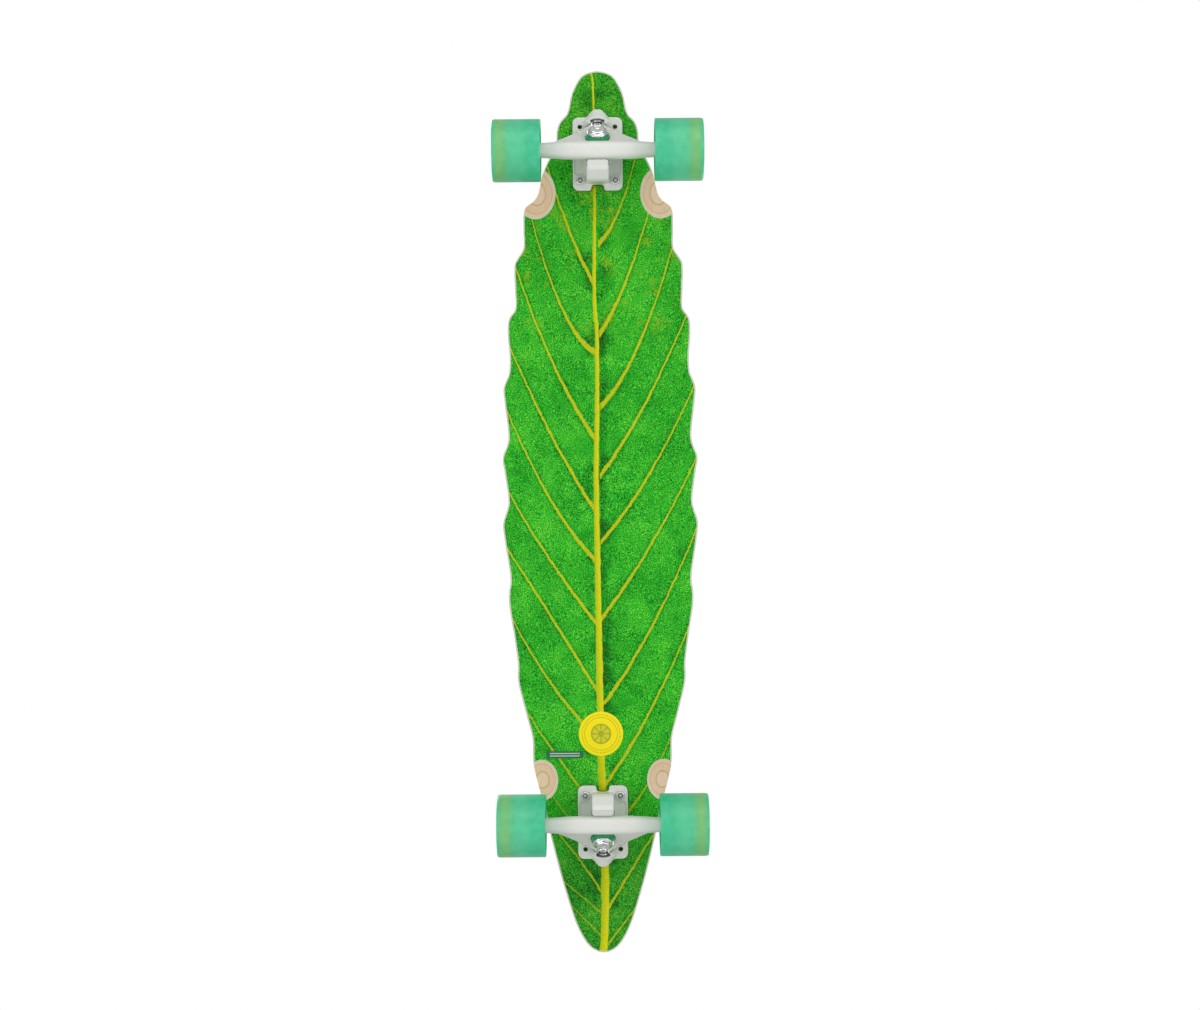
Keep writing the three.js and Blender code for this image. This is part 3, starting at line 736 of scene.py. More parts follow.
def steel(name, dark, light, rough_low, rough_high, size=4.0):
    """Plated or bare steel, with soft stains that change its polish."""
    nodes = Surface(name)
    stain = nodes.noise(size, 4.0, 0.6)
    nodes.bump(nodes.noise(1.5, 2.0), 0.004, 0.2)
    colour = nodes.mix(stain, dark, light)
    return nodes.done(colour, stain.step(0.3, 0.7, rough_low, rough_high), Metallic=1.0)


def rubber(name, colour, pale, roughness, glow=0.0):
    """Rubber or urethane: mould haze, and light that soaks in where it glows."""
    nodes = Surface(name)
    haze = nodes.noise(3.5, 4.0, 0.6)
    nodes.bump(nodes.noise(0.5, 2.0), 0.03, 0.4)
    if glow:
        nodes.fill(nodes.shader, Subsurface_Weight=glow, Subsurface_Radius=[0.6 + c for c in pale],
                   Subsurface_Scale=3.0 * MM)
    shown = nodes.mix(haze.step(0.35, 0.75), colour, pale)
    return nodes.done(shown, haze.step(0.3, 0.7, roughness, roughness + 0.12))


def wheel_urethane(truck):
    """Clouded teal urethane. A yellow ring printed on the outer face shows through its outer edge."""
    nodes = Surface(f"{truck}_wheel_urethane")
    low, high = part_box(f"{truck}_left_wheel")
    middle = (low + high) / (2 * MM)
    outward = abs(nodes.y) - middle.y
    radius, turn = nodes.around(nodes.x, nodes.z, (middle.x, middle.z))
    cloud = nodes.noise(9.0, 3.0, 0.5)
    body = nodes.mix(cloud.step(0.3, 0.75), (0.045, 0.560, 0.290), (0.070, 0.640, 0.345))
    # The middle of the tread's width is painted paler here: a painted highlight.
    body = nodes.mix(abs(outward).step(2.0, 15.0, 0.30, 0.0), body, (0.20, 0.74, 0.42))
    seen_through = outward.step(4.0, 20.0) * outward.step(28.5, 19.5) * cloud.step(0.25, 0.6, 0.44, 0.60)
    body = nodes.mix(seen_through, body, (0.34, 0.58, 0.10))

    band = radius.step(19.6, 20.0) * radius.step(26.4, 26.0)
    teeth = nodes.math("PINGPONG", turn * (9 / math.pi), 0.5).step(0.07, 0.10)
    thin = radius.step(27.6, 27.9) * radius.step(28.9, 28.6)
    printed = nodes.math("MAXIMUM", band * teeth, thin) * outward.over(5.0)
    tread = radius.step(34.6, 35.0)
    body = nodes.mix(tread * nodes.noise(5.0, 3.0).step(0.5, 0.8, 0.0, 0.10), body, (0.30, 0.52, 0.40))
    colour = nodes.mix(printed * 0.94, body, (0.88, 0.66, 0.02))

    nodes.bump(nodes.noise(1.2, 3.0), 0.04, 0.35)
    return nodes.done(colour, tread.step(0.0, 1.0, 0.28, 0.42), Subsurface_Weight=0.55,
                      Subsurface_Radius=(0.5, 1.4, 1.0), Subsurface_Scale=5.0 * MM, Coat_Weight=0.15,
                      Coat_Roughness=0.3)


def sticker_print():
    """A round yellow sticker with a plain ring, a ring of ticks and a spoked disc. It has no lettering."""
    nodes = Surface("sticker_print")
    radius, turn = nodes.around(nodes.x, nodes.y, STICKER_PLACE)

    def ring(middle, half_width):
        return abs(radius - middle).step(half_width - 0.15, half_width + 0.15, 1.0, 0.0)

    def spokes(count, share):
        return nodes.math("PINGPONG", turn * (count / math.tau), 0.5).step(share - 0.03, share + 0.03)

    ink = nodes.math("MAXIMUM", ring(19.2, 0.28), ring(22.3, 0.8) * spokes(60, 0.33))
    disc = radius.step(11.8, 12.2, 1.0, 0.0)
    petals = ring(7.0, 3.2) * spokes(8, 0.13)
    paper = nodes.mix(nodes.noise(6.0, 3.0), (0.98, 0.78, 0.008), (1.0, 0.86, 0.014))
    olive = nodes.mix(nodes.noise(1.4, 2.0), (0.16, 0.24, 0.02), (0.50, 0.55, 0.03))
    colour = nodes.mix(disc * 0.85, paper, olive)
    colour = nodes.mix(petals * 0.85, colour, (0.72, 0.68, 0.03))
    colour = nodes.mix(ink * 0.7, colour, (0.20, 0.20, 0.02))
    nodes.bump(nodes.noise(3.0, 2.0), 0.02, 0.3)
    return nodes.done(colour, disc.step(0.0, 1.0, 0.36, 0.44), Coat_Weight=0.04, Specular_IOR_Level=0.12)


def label_print():
    """A small dark green label with two plain pale stripes. It has no lettering."""
    nodes = Surface("label_print")
    low_x, high_x, low_y, high_y = LABEL_BOX
    gap = abs(nodes.x - (low_x + high_x) / 2)
    stripe = gap.step(1.9, 2.2, 1.0, 0.0) * gap.step(0.7, 1.0)
    inner = nodes.y.step(low_y + 4.0, low_y + 4.4) * nodes.y.step(high_y - 4.0, high_y - 4.4)
    ink = nodes.mix(nodes.noise(2.0, 2.0), (0.008, 0.11, 0.045), (0.015, 0.17, 0.07))
    colour = nodes.mix(stripe * (inner * 0.75), ink, (0.7, 0.8, 0.7))
    return nodes.done(colour, stripe.step(0.0, 1.0, 0.4, 0.5))


LEAF = leaf_print()
PLY = maple_ply("maple_ply", 0.38)
EDGE = maple_ply("maple_edge", 1.12)
GRIT = grip_grit()
WHITE = white_casting()
MACHINED = machined_face()
RISER = rubber("riser_rubber", (0.012, 0.012, 0.013), (0.035, 0.034, 0.033), 0.62)
CUP = rubber("cup_urethane", (0.55, 0.55, 0.48), (0.72, 0.72, 0.64), 0.35, glow=0.4)
BUSHING = rubber("bushing_urethane", (0.008, 0.330, 0.100), (0.020, 0.460, 0.160), 0.20, glow=0.35)
NYLON = rubber("nut_nylon", (0.030, 0.030, 0.033), (0.060, 0.058, 0.056), 0.40)
SHIELD = rubber("bearing_shield", (0.010, 0.060, 0.035), (0.016, 0.090, 0.055), 0.35)
CHROME = steel("chrome", (0.80, 0.81, 0.83), (0.93, 0.93, 0.94), 0.04, 0.09)
ZINC = steel("zinc_steel", (0.46, 0.46, 0.45), (0.66, 0.66, 0.65), 0.24, 0.40, 2.5)
BEARING = steel("bearing_steel", (0.58, 0.59, 0.61), (0.74, 0.75, 0.77), 0.12, 0.26, 3.0)

# ---------- Deck, grip tape and its two stickers ----------


def camber(x):
    share = (x - CAMBER_CENTRE) / CAMBER_REACH
    return CAMBER_HEIGHT * math.cos(math.pi / 2 * share) ** 2 if abs(share) < 1 else 0.0


def dish(y):
    return DISH_HEIGHT * (max(0.0, abs(y) - FLAT_HALF_WIDTH) / DISH_REACH) ** 2


def surface_height(x, y):
    return UNDERSIDE + camber(x) + dish(y)


def smooth_edge(steps=8):
    """A smooth curve through the leaf's edge points: centripetal, so that it doesn't overshoot."""
    points = [Vector(point) for point in LEAF_EDGE]
    points = [points[0] * 2 - points[1], *points, points[-1] * 2 - points[-2]]
    result = []
    for before, start, end, after in zip(points, points[1:], points[2:], points[3:]):
        t0 = 0.0
        t1 = t0 + (start - before).length ** 0.5
        t2 = t1 + (end - start).length ** 0.5
        t3 = t2 + (after - end).length ** 0.5
        for k in range(steps):
            t = t1 + (t2 - t1) * k / steps
            a = before.lerp(start, (t - t0) / (t1 - t0))
            b = start.lerp(end, (t - t1) / (t2 - t1))
            c = end.lerp(after, (t - t2) / (t3 - t2))
            ab = a.lerp(b, (t - t0) / (t2 - t0))
            bc = b.lerp(c, (t - t1) / (t3 - t1))
            result.append(ab.lerp(bc, (t - t1) / (t2 - t1)))
    return result + [points[-2]]


def edge_inset(edge, distance):
    """The half outline, moved towards the inside of the leaf and kept in order along the board."""
    result = []
    for i, here in enumerate(edge):
        before = edge[max(0, i - 1)]
        after = edge[min(len(edge) - 1, i + 1)]
        ahead = (after - before).normalized()
        result.append(Vector((here.x - ahead.y * distance, max(0.03, here.y - abs(ahead.x) * distance))))
    for i in range(1, len(result)):
        result[i].x = min(result[i].x, result[i - 1].x - 0.002)
    return result


def leaf_layer(edge, rim, rows, underside_finish, rim_finish, top_finish):
    """A sheet of the leaf's shape. The rim is a list of (inset, height), from underside to top."""
    insets = [edge_inset(edge, distance) for distance, _ in rim]
    points, faces, finishes = [], [], []

    def row(inset_edge, i, share, height):
        x, half = inset_edge[i]
        y = half * share
        return (x, y, surface_height(x, y) + height)

    # One closed loop of points round each station: underside, left rim, top, right rim.
    inner = [1 - 2 * k / rows for k in range(rows + 1)]
    loops = []
    for i in range(len(edge)):
        loop = [(row(insets[0], i, share, rim[0][1]), underside_finish) for share in reversed(inner)]
        loop += [(row(insets[k], i, 1, rim[k][1]), rim_finish) for k in range(1, len(rim) - 1)]
        loop += [(row(insets[-1], i, share, rim[-1][1]), top_finish) for share in inner]
        loop += [(row(insets[k], i, -1, rim[k][1]), rim_finish) for k in range(len(rim) - 2, 0, -1)]
        loops.append(loop)
    count = len(loops[0])
    for loop in loops:
        points += [point for point, _ in loop]
    for i in range(len(loops) - 1):
        for j in range(count):
            k = (j + 1) % count
            here = loops[i][j][1]
            there = loops[i][k][1]
            finishes.append(here if here == there else rim_finish)
            faces.append((i * count + j, i * count + k, (i + 1) * count + k, (i + 1) * count + j))
    last = (len(loops) - 1) * count
    faces += [tuple(reversed(range(count))), tuple(range(last, last + count))]
    sheet = Shape(points, faces)
    sheet.finishes = finishes + [rim_finish, rim_finish]
    return sheet


def rounded_rim(thickness, low_radius, high_radius, steps=5):
    """The rim's section: (inset, height), round at both edges."""
    quarter = [math.pi / 2 * k / steps for k in range(steps + 1)]
    low = [(low_radius * (1 - math.sin(a)), low_radius * (1 - math.cos(a))) for a in quarter]
    high = [(high_radius * (1 - math.cos(a)), thickness - high_radius * (1 - math.sin(a))) for a in quarter]
    return low + high


def every_bolt_place(height):
    """Where the mounting bolts go through the deck, at a height, in millimetres in the row frame."""
    for truck in TRUCKS:
        for station, y in bolt_stations():
            place = row_frame(truck) @ Vector((station, y, 0)) / MM
            yield (place.x, place.y, height)


def well_scoop(x, y, half_length, half_width):
    """A flattened ball that meets the underside in the well's outline."""
    drop = WELL_BALL_HEIGHT - WELL_DEPTH
    share = math.sqrt(1 - (drop / WELL_BALL_HEIGHT) ** 2)
    profile = [(math.sin(math.pi * k / 40), -math.cos(math.pi * k / 40)) for k in range(41)]
    ball = revolve(profile, 96, closed=False, finish=1)
    size = Matrix.Diagonal((half_length / share, half_width / share, WELL_BALL_HEIGHT, 1))
    return ball.moved(size).at(x, y, UNDERSIDE + dish(y) - drop)


def make_deck():
    edge = smooth_edge()
    rim = rounded_rim(DECK_THICKNESS, ROAD_EDGE_RADIUS, TOP_EDGE_RADIUS)
    deck = leaf_layer(edge, rim, 26, 0, 2, 2)
    cuts = [("DIFFERENCE", well_scoop(x, side * y, a, b)) for x, y, a, b in WHEEL_WELLS for side in (1, -1)]
    countersink = revolve([(0, -1), (2.6, -1), (2.6, DECK_THICKNESS - 2.8), (5.0, DECK_THICKNESS),
                           (5.0, DECK_THICKNESS + 1), (0, DECK_THICKNESS + 1)], 32, closed=False, finish=1)
    deck = worked(deck, cuts + [("DIFFERENCE", countersink.copied(every_bolt_place(UNDERSIDE)))])
    piece("leaf_deck", deck, ROW_FRAME, (LEAF, PLY, EDGE), "leaf_maple", "board", ["deck"], 32)

    low, high = DECK_THICKNESS + 0.02, DECK_THICKNESS + 0.8
    grip_rim = [(GRIP_INSET + 0.1, low), (GRIP_INSET, low + 0.1), (GRIP_INSET, high - 0.25),
                (GRIP_INSET + 0.25, high)]
    grip = leaf_layer(edge, grip_rim, 26, 0, 0, 0)
    hole = rod(5.2, UNDERSIDE + DECK_THICKNESS - 1, UNDERSIDE + DECK_THICKNESS + 2, 40)
    grip = worked(grip, [("DIFFERENCE", hole.copied(every_bolt_place(0)))])
    piece("grip_sheet", grip, ROW_FRAME, (GRIT,), "grip", "board", ["grip_tape"], 50)


def skin(outline, rings, thickness):
    """A thin sticker on the deck's underside: rings of the outline from its middle to its edge."""
    middle = Vector((sum(p[0] for p in outline), sum(p[1] for p in outline))) / len(outline)
    sections = []
    lead = [(0.001 + 0.999 * k / rings, thickness) for k in range(rings + 1)]
    for share, drop in lead + [(1.0, -0.05)]:
        ring = []
        for p in outline:
            at = middle.lerp(Vector(p), share)
            edge_drop = drop if share < 0.99 or drop < 0 else drop * 0.9
            ring.append((at.x, at.y, surface_height(at.x, at.y) - edge_drop))
        sections.append(ring)
    return loft(sections)


def make_stickers():
    disc = arc(*STICKER_PLACE, STICKER_RADIUS, 0, 360, 96)[:-1]
    piece("round_sticker", skin(disc, 14, 0.16), ROW_FRAME, (sticker_print(),), "leaf_maple", "board")
    low_x, high_x, low_y, high_y = LABEL_BOX
    corners = [(low_x, low_y), (high_x, low_y), (high_x, high_y), (low_x, high_y)]
    outline = []
    for start, end in zip(eased(corners, 2.0), eased(corners, 2.0)[1:] + eased(corners, 2.0)[:1]):
        outline += [tuple(start.lerp(end, k / 6)) for k in range(6)]
    piece("plain_label", skin(outline, 6, 0.12), ROW_FRAME, (label_print(),), "leaf_maple", "board")


# ---------- Truck base ----------


def plate_outline():
    left = PLATE_INNER_END + PLATE_CORNER
    right = PLATE_OUTER_END - PLATE_CORNER
    side = PLATE_HALF_WIDTH - PLATE_CORNER
    notch = PLATE_INNER_END + NOTCH_DEPTH
    outline = arc(left, -side, PLATE_CORNER, 180, 270, 8)
    outline += arc(right, -side, PLATE_CORNER, 270, 360, 8)
    outline += [tuple(p) for p in eased(TONGUE, 4.0, 5, closed=False)]
    outline += arc(right, side, PLATE_CORNER, 0, 90, 8)
    outline += arc(left, side, PLATE_CORNER, 90, 180, 8)
    outline += [(PLATE_INNER_END, NOTCH_HALF_WIDTH + 2), (PLATE_INNER_END + 2, NOTCH_HALF_WIDTH),
                (notch - 2, NOTCH_HALF_WIDTH), (notch, NOTCH_HALF_WIDTH - 2),
                (notch, 2 - NOTCH_HALF_WIDTH), (notch - 2, -NOTCH_HALF_WIDTH),
                (PLATE_INNER_END + 2, -NOTCH_HALF_WIDTH), (PLATE_INNER_END, -NOTCH_HALF_WIDTH - 2)]
    return outline


def bolt_stations(with_spare=False):
    stations = BOLT_STATIONS + ((SPARE_HOLE_STATION,) if with_spare else ())
    return [(u, side * HOLE_HALF_GAUGE) for u in stations for side in (1, -1)]


def lip_shape():
    """The raised lip round the bowl. It slopes down outside to the edge of the plate's pointed end, and at both
    its ends to the plate."""
    rim = BOWL_RADIUS + WALL_THICKNESS
    sections = []
    for k in range(41):
        turn = math.radians(LIP_SWEEP * (k / 20 - 1))
        along, across = math.cos(turn), math.sin(turn)
        foot = min((TONGUE_APEX - BOWL_CENTRE) / along, TONGUE_SIDE / (8 * along + 9 * abs(across))) - 0.7
        level = WALL_LEVEL + 6.0 * max(0.0, abs(k / 20 - 1) - 0.55) / 0.45
        section = [(BOWL_RADIUS, 1 - PLATE_THICKNESS), (foot, 1 - PLATE_THICKNESS), (foot, -PLATE_THICKNESS),
                   (rim + 2.6, level + 0.5), (rim + 1.2, level), (BOWL_RADIUS, level)]
        sections.append([(BOWL_CENTRE + r * along, r * across, z) for r, z in section])
    return loft(sections)


def fin_shape(kingpin):
    front = [(44.5, 10.3), (44.5, -11), (22, -11), (17, -14), (15, -21.8), (-15, -21.8)]
    line = []
    for x, z in front:
        point = kingpin @ Vector((x, 0, z))
        line.append((point.x, point.z))
    line += [(0, -2), (-29.5, -2), (-30.5, -8), (-35.5, -60), (-33.5, -65.4), (-24, -75), (-19.5, -76.7)]
    rounding = ((1.4, 0.0), (0.4, 0.7), (0.0, 2.0))
    levels = [(take, step - FIN_HALF_WIDTH) for take, step in rounding]
    levels += [(take, FIN_HALF_WIDTH - step) for take, step in reversed(rounding)]
    fin = loft([[(p[0], p[1], level) for p in inset(line, take)] for take, level in levels])
    fin = fin.moved(Matrix.Rotation(math.pi / 2, 4, "X"))
    for point in fin.points:
        point.y *= 1.08 + 0.0014 * point.z             # draft: narrower away from the plate
    return fin


def base_shape(kingpin):
    slot_outer = BOWL_RADIUS + WALL_THICKNESS
    plate = prism(plate_outline(), -PLATE_THICKNESS, 1.5, 0.5)
    boss = rod(14.5, SEAT_LEVEL - 14, SEAT_LEVEL).moved(kingpin)
    lumps = [plate, lip_shape(), boss, fin_shape(kingpin)]

    hollows = [rod(BOWL_RADIUS, -PLATE_THICKNESS - 1, -4.5).at(BOWL_CENTRE, 0, 0)]
    hollows.append(rod(16.0, SEAT_LEVEL, 40).moved(kingpin))
    ball = [(23.2 * math.sin(math.pi * k / 32), -23.2 * math.cos(math.pi * k / 32)) for k in range(33)]
    hollows.append(revolve(ball, 64, closed=False).moved(Matrix.Translation(kingpin.translation)))
    for side in (1, -1):
        pocket = [(-19.0, side * 14.6), (7.0, side * 14.6), (7.0, side * 27.2), (-19.0, side * 27.2)]
        pocket = eased(pocket if side > 0 else pocket[::-1], 3.0)
        hollows.append(prism(pocket, -PLATE_THICKNESS - 1, -PLATE_THICKNESS + 1.5))

    holes = rod(HOLE_RADIUS, -12, 2, 32).copied(bolt_stations(with_spare=True))
    level = SEAT_LEVEL - SEAT_WALL
    slot = arc_strip(BOWL_CENTRE, BOWL_RADIUS - 0.4, slot_outer, -25, 25, WALL_LEVEL - 1, 0.5)
    cuts = [box((-80, -60, 0), (90, 60, 12)), holes, slot]
    cuts.append(rod(14.2, SEAT_LEVEL - 0.25, SEAT_LEVEL + 6, 64, finish=1).moved(kingpin))
    cuts.append(rod(KINGPIN_RADIUS + 0.3, SEAT_LEVEL - 20, 0, 32, finish=1).moved(kingpin))
    cuts.append(rod(7.9, level - 30, level, 40).moved(kingpin))
    cuts.append(rod(7.8, 30, 54.9, 40).moved(kingpin @ ALONG_PIVOT))
    return cast(lumps, hollows, cuts, 0.85, 5)


def riser_shape():
    pad = prism(plate_outline(), 0.05, 0.05 + RISER_THICKNESS, 0.35)
    window = prism(eased([(-18, -10), (12, -10), (12, 10), (-18, 10)], 3.0), -1, 5)
    holes = rod(HOLE_RADIUS, -1, 5, 24).copied(bolt_stations(with_spare=True))
    return worked(pad, [("DIFFERENCE", window), ("DIFFERENCE", holes)])


def cup_shape():
    profile = [(0, 52.5), (3.7, 52.1), (5.6, 50.3), (6.7, 45.3), (6.9, 44.8), (7.2, 44.8), (7.5, 45.6),
               (7.5, 54.0), (6.9, 54.6), (0, 54.6)]
    return revolve(profile, 48, closed=False).moved(ALONG_PIVOT)


# ---------- Kingpin stack ----------


def lock_nut(across_flats, hole, low, high, collar, lip=1.3, sink=1.2):
    """A hex nut with a round collar that holds a nylon ring. Finish 1 is the nylon."""
    hex_high = low + (high - low) * 0.72
    corner = across_flats / math.sqrt(3)
    body = prism(hexagon(across_flats), low, hex_high)
    chamfer = [(0, low - 0.01), (across_flats / 2 * 0.94, low - 0.01), (corner + 0.2, low + 1.1),
               (corner + 0.2, hex_high - 1.2), (across_flats / 2 * 0.95, hex_high + 0.01),
               (0, hex_high + 0.01)]
    dome = [(0, hex_high - 0.8), (collar, hex_high - 0.8), (collar, high - 1.0), (collar - 0.3, high - 0.35),
            (collar - 1.0, high), (0, high)]
    cup = [(0, high + 1), (collar - lip, high + 1), (collar - lip, high - sink), (0, high - sink)]
    steps = [("INTERSECT", revolve(chamfer, 48, closed=False)), ("UNION", revolve(dome, 48, closed=False)),
             ("DIFFERENCE", revolve(cup, 48, closed=False)), ("DIFFERENCE", rod(hole, low - 2, high + 2, 32))]
    nut = worked(body, steps)
    wide, base = collar - lip - 0.05, high - sink + 0.05
    ring = eased([(hole + 0.05, base), (wide, base), (wide, base + 0.7), (hole + 0.05, base + 0.7)], 0.3, 3)
    return nut.add(revolve(ring, 40, finish=1))


def kingpin_shape():
    top = SEAT_LEVEL - SEAT_WALL - 0.3
    head = worked(prism(hexagon(13.6), top - 5.6, top),
                  [("INTERSECT", rod(7.3, top - 5.9, top + 1, 40, bevel=0.9))])
    shank = [(0, top - 0.5), (KINGPIN_RADIUS, top - 0.5), (KINGPIN_RADIUS, 8.0)]
    shank += thread(KINGPIN_RADIUS, 8.5, 28.4) + [(KINGPIN_RADIUS - 1.0, 29.2), (0, 29.2)]
    return head.add(revolve(shank, 40, closed=False))


def bushing_shape(direction):
    bore = KINGPIN_RADIUS + 0.3
    profile = [(bore, 4.8), (13.5, 4.8), (14.0, 5.5), (14.0, 8.0), (13.85, 10.5), (13.72, 12.8),
               (13.6, 15.0), (13.5, 16.6), (12.0, 18.9), (11.4, 19.2), (bore, 19.2), (bore, 15.5),
               (bore, 12.0)]
    profile = eased([(r, direction * z) for r, z in profile], 0.5, 3)
    return revolve(profile, 64)


def washer_shape(direction):
    """A cupped washer: a flat floor, and a lip that holds the bushing."""
    bore = KINGPIN_RADIUS + 0.3
    profile = [(bore, 19.4), (10.6, 19.4), (11.6, 19.3), (12.3, 19.6), (12.0, 20.6), (11.0, 21.6),
               (10.2, 22.0), (bore, 22.0)]
    profile = eased([(r, direction * z) for r, z in profile], 0.6, 3)
    return revolve(profile, 72)


# ---------- Hanger and axle ----------


def bar_section(y):
    """The bar's radius: thick in the middle, and a long taper to the wheels."""
    away = min(1.0, max(0.0, (abs(y) - 30.0) / 40.0))
    blend = away * away * (3 - 2 * away)
    return BAR_RADIUS + (8.3 - BAR_RADIUS) * blend


def bar_shape(kingpin):
    """The bar that holds the axle, a little flattened toward the road."""
    middle = kingpin @ Vector((AXLE_REACH, 0, RAKE))
    sections = []
    for k in range(41):
        y = -80 + 4 * k
        ring = []
        for i in range(56):
            turn = 2 * math.pi * i / 56
            x, z = (math.copysign(abs(part) ** 0.74, part) for part in (math.cos(turn), math.sin(turn)))
            ring.append((middle.x + bar_section(y) * x, y, middle.z + bar_section(y) * z))
        sections.append(ring)
    return loft(sections)


def hanger_shape(kingpin):
    ring = revolve([(8.0, -4.5), (RING_RADIUS - 0.6, -7.0), (RING_RADIUS, -5.5), (RING_RADIUS, 11.0),
                    (RING_RADIUS - 1.5, 12.5), (8.0, 12.5)], 72)
    neck = rod(8.2, 12, 42.3).moved(ALONG_PIVOT)
    nose = revolve([(0, 38), (6.6, 38), (6.6, 43), (5.3, 50), (3.5, 51.6), (0, 52)], 40, closed=False)
    root = loft([[(18, -14, 0), (30, -10, 0), (30, 10, 0), (18, 14, 0)],
                 [(23, -20, 15), (37, -16, 15), (37, 16, 15), (23, 20, 15)]])
    half = [(-30.8, 4), (-26.3, 10.3), (-20.0, 16.2), (-10, 20.3)]
    rim = half + [(x, -y) for x, y in reversed(half)]
    front = loft([[(p[0], p[1], level) for p in inset(rim, take)]
                  for take, level in ((1.4, 8.5), (0.0, 9.6), (0.0, 11.4), (1.2, 12.9))])
    lumps = [ring, front, neck, nose.moved(ALONG_PIVOT), root]
    for side in (1, -1):
        arm = [(-18.5, 14.5), (-14.2, 21.5), (-8.6, 29.0), (-1.6, 37.5), (5.0, 46.0), (11.5, 53.5),
               (18, 59.5), (24, 60), (24, 18), (7, 12)]
        levels = []
        for grow, level in ((2.6, 0.0), (-0.8, 3.6), (-0.8, 11.2), (0.8, 13.0)):
            outline = [(x, side * y) for x, y in arm]
            outline = inset(outline[::-1], grow) if side > 0 else inset(outline, grow)
            levels.append([(p[0], p[1], level) for p in outline])
        lumps.append(loft(levels))
    lumps = [lump.moved(kingpin) for lump in lumps] + [bar_shape(kingpin)]

    cuts = [rod(RING_RECESS, 4.5, 30, 64), rod(RING_RECESS, -30, -4.5, 64), rod(9.0, -10, 10, 40)]
    for side in (1, -1):
        end = rod(12, 79.6, 90, 40) if side > 0 else rod(12, -90, -79.6, 40)
        cuts.append(end.moved(ACROSS_BOARD).at(AXLE_REACH, 0, RAKE))
    bore = rod(AXLE_RADIUS + 0.3, -90, 90, 32).moved(ACROSS_BOARD).at(AXLE_REACH, 0, RAKE)
    cuts = [cut.moved(kingpin) for cut in (*cuts, bore)]
    return cast(lumps, [], cuts, 0.9, 8)


def axle_shape(half_length):
    profile = [(0, -half_length), (3.0, -half_length)]
    profile += [(r, z) for r, z in thread(AXLE_RADIUS, 0.9 - half_length, -102)] + [(AXLE_RADIUS, -101.5)]
    profile += [(r, -z) for r, z in reversed(profile)]
    return revolve(profile, 40, closed=False).moved(ACROSS_BOARD)


# ---------- Wheel, bearings, spacer, speed washer and nut, along the axle line ----------


def wheel_shape(radius, half_width):
    outer = [(11.05, 4.8), (11.05, 12.2), (12.2, 12.9), (14.2, 13.2), (17.0, 15.6), (27.8, 25.2),
             (30.8, half_width), (32.6, half_width)]
    outer_lip = eased([(32.6, half_width), (radius - 0.7, half_width - 0.4), (radius, half_width - 3.6),
                       (radius, half_width - 6)], 2.6, 5, closed=False)
    inner_lip = eased([(radius, 6 - half_width), (radius, -half_width), (32.6, -half_width)], 1.6, 4,
                      closed=False)
    inner = [(30.8, -half_width), (27.8, 0.6 - half_width), (17.0, -16.2), (14.2, -13.2), (12.2, -12.9),
             (11.05, -12.2), (11.05, -4.8), (9.3, -4.8)]
    profile = outer[:6] + eased(outer[5:8] + [tuple(outer_lip[1])], 1.2, 4, closed=False)[1:-1]
    profile += [tuple(p) for p in outer_lip[1:]] + [tuple(p) for p in inner_lip] + inner + [(9.3, 4.8)]
    return revolve(profile, 128)


def bearing_shape(direction):
    """Outer race, inner race and a set-back shield on its outward side. Finish 1 is the shield."""
    near, far = 5.1, 12.1
    outer = eased([(9.4, near), (11.0, near), (11.0, far), (9.4, far)], 0.4, 3)
    inner = eased([(4.05, near), (5.9, near), (5.9, far), (4.05, far)], 0.4, 3)
    shields = [(5.95, far - 0.9), (9.35, far - 0.9), (9.35, far - 0.5), (8.8, far - 0.35), (6.5, far - 0.35),
               (5.95, far - 0.5)]
    back = [(r, near + far - z) for r, z in shields]
    shape = revolve(outer, 64).add(revolve(inner, 48))
    shape.add(revolve(shields, 64, finish=1), revolve(back, 64, finish=1))
    return shape.moved(Matrix.Scale(direction, 4, (0, 0, 1)))


def ring_shape(inner, outer, low, high):
    return revolve(eased([(inner, low), (outer, low), (outer, high), (inner, high)], 0.2, 3), 48)


# ---------- Mounting bolts ----------


def bolt_shape(head_top):
    neck = head_top - 2.8
    profile = [(0, -13.0), (1.7, -13.0)] + thread(2.35, -12.5, neck - 1.0, 0.8, 0.3)
    profile += [(2.35, neck - 0.6), (2.35, neck), (4.55, head_top - 0.25), (4.7, head_top),
                (3.2, head_top + 0.12), (0, head_top + 0.15)]
    bolt = revolve(profile, 32, closed=False)
    arms = [(x, y) for x, y in ((0.45, 2.4), (-0.45, 2.4), (-0.45, 0.45), (-2.4, 0.45), (-2.4, -0.45),
                                (-0.45, -0.45), (-0.45, -2.4), (0.45, -2.4), (0.45, -0.45), (2.4, -0.45),
                                (2.4, 0.45), (0.45, 0.45))]
    cross = loft([[(x * 0.45, y * 0.45, head_top - 1.9) for x, y in arms],
                  [(x * 1.1, y * 1.1, head_top + 0.5) for x, y in arms]])
    return worked(bolt, [("DIFFERENCE", cross)])


# ---------- Assembly ----------


def piece_maker(prefix):
    """Makes pieces whose names start with a prefix, as the name of the CAD node that each stands for does."""

    def add(name, node, shape, place, materials, slot, body, **settings):
        nodes = [f"{prefix}_{node}"] if node else []
        piece(f"{prefix}_{name}", shape, place, materials, slot, body, nodes, **settings)

    return add


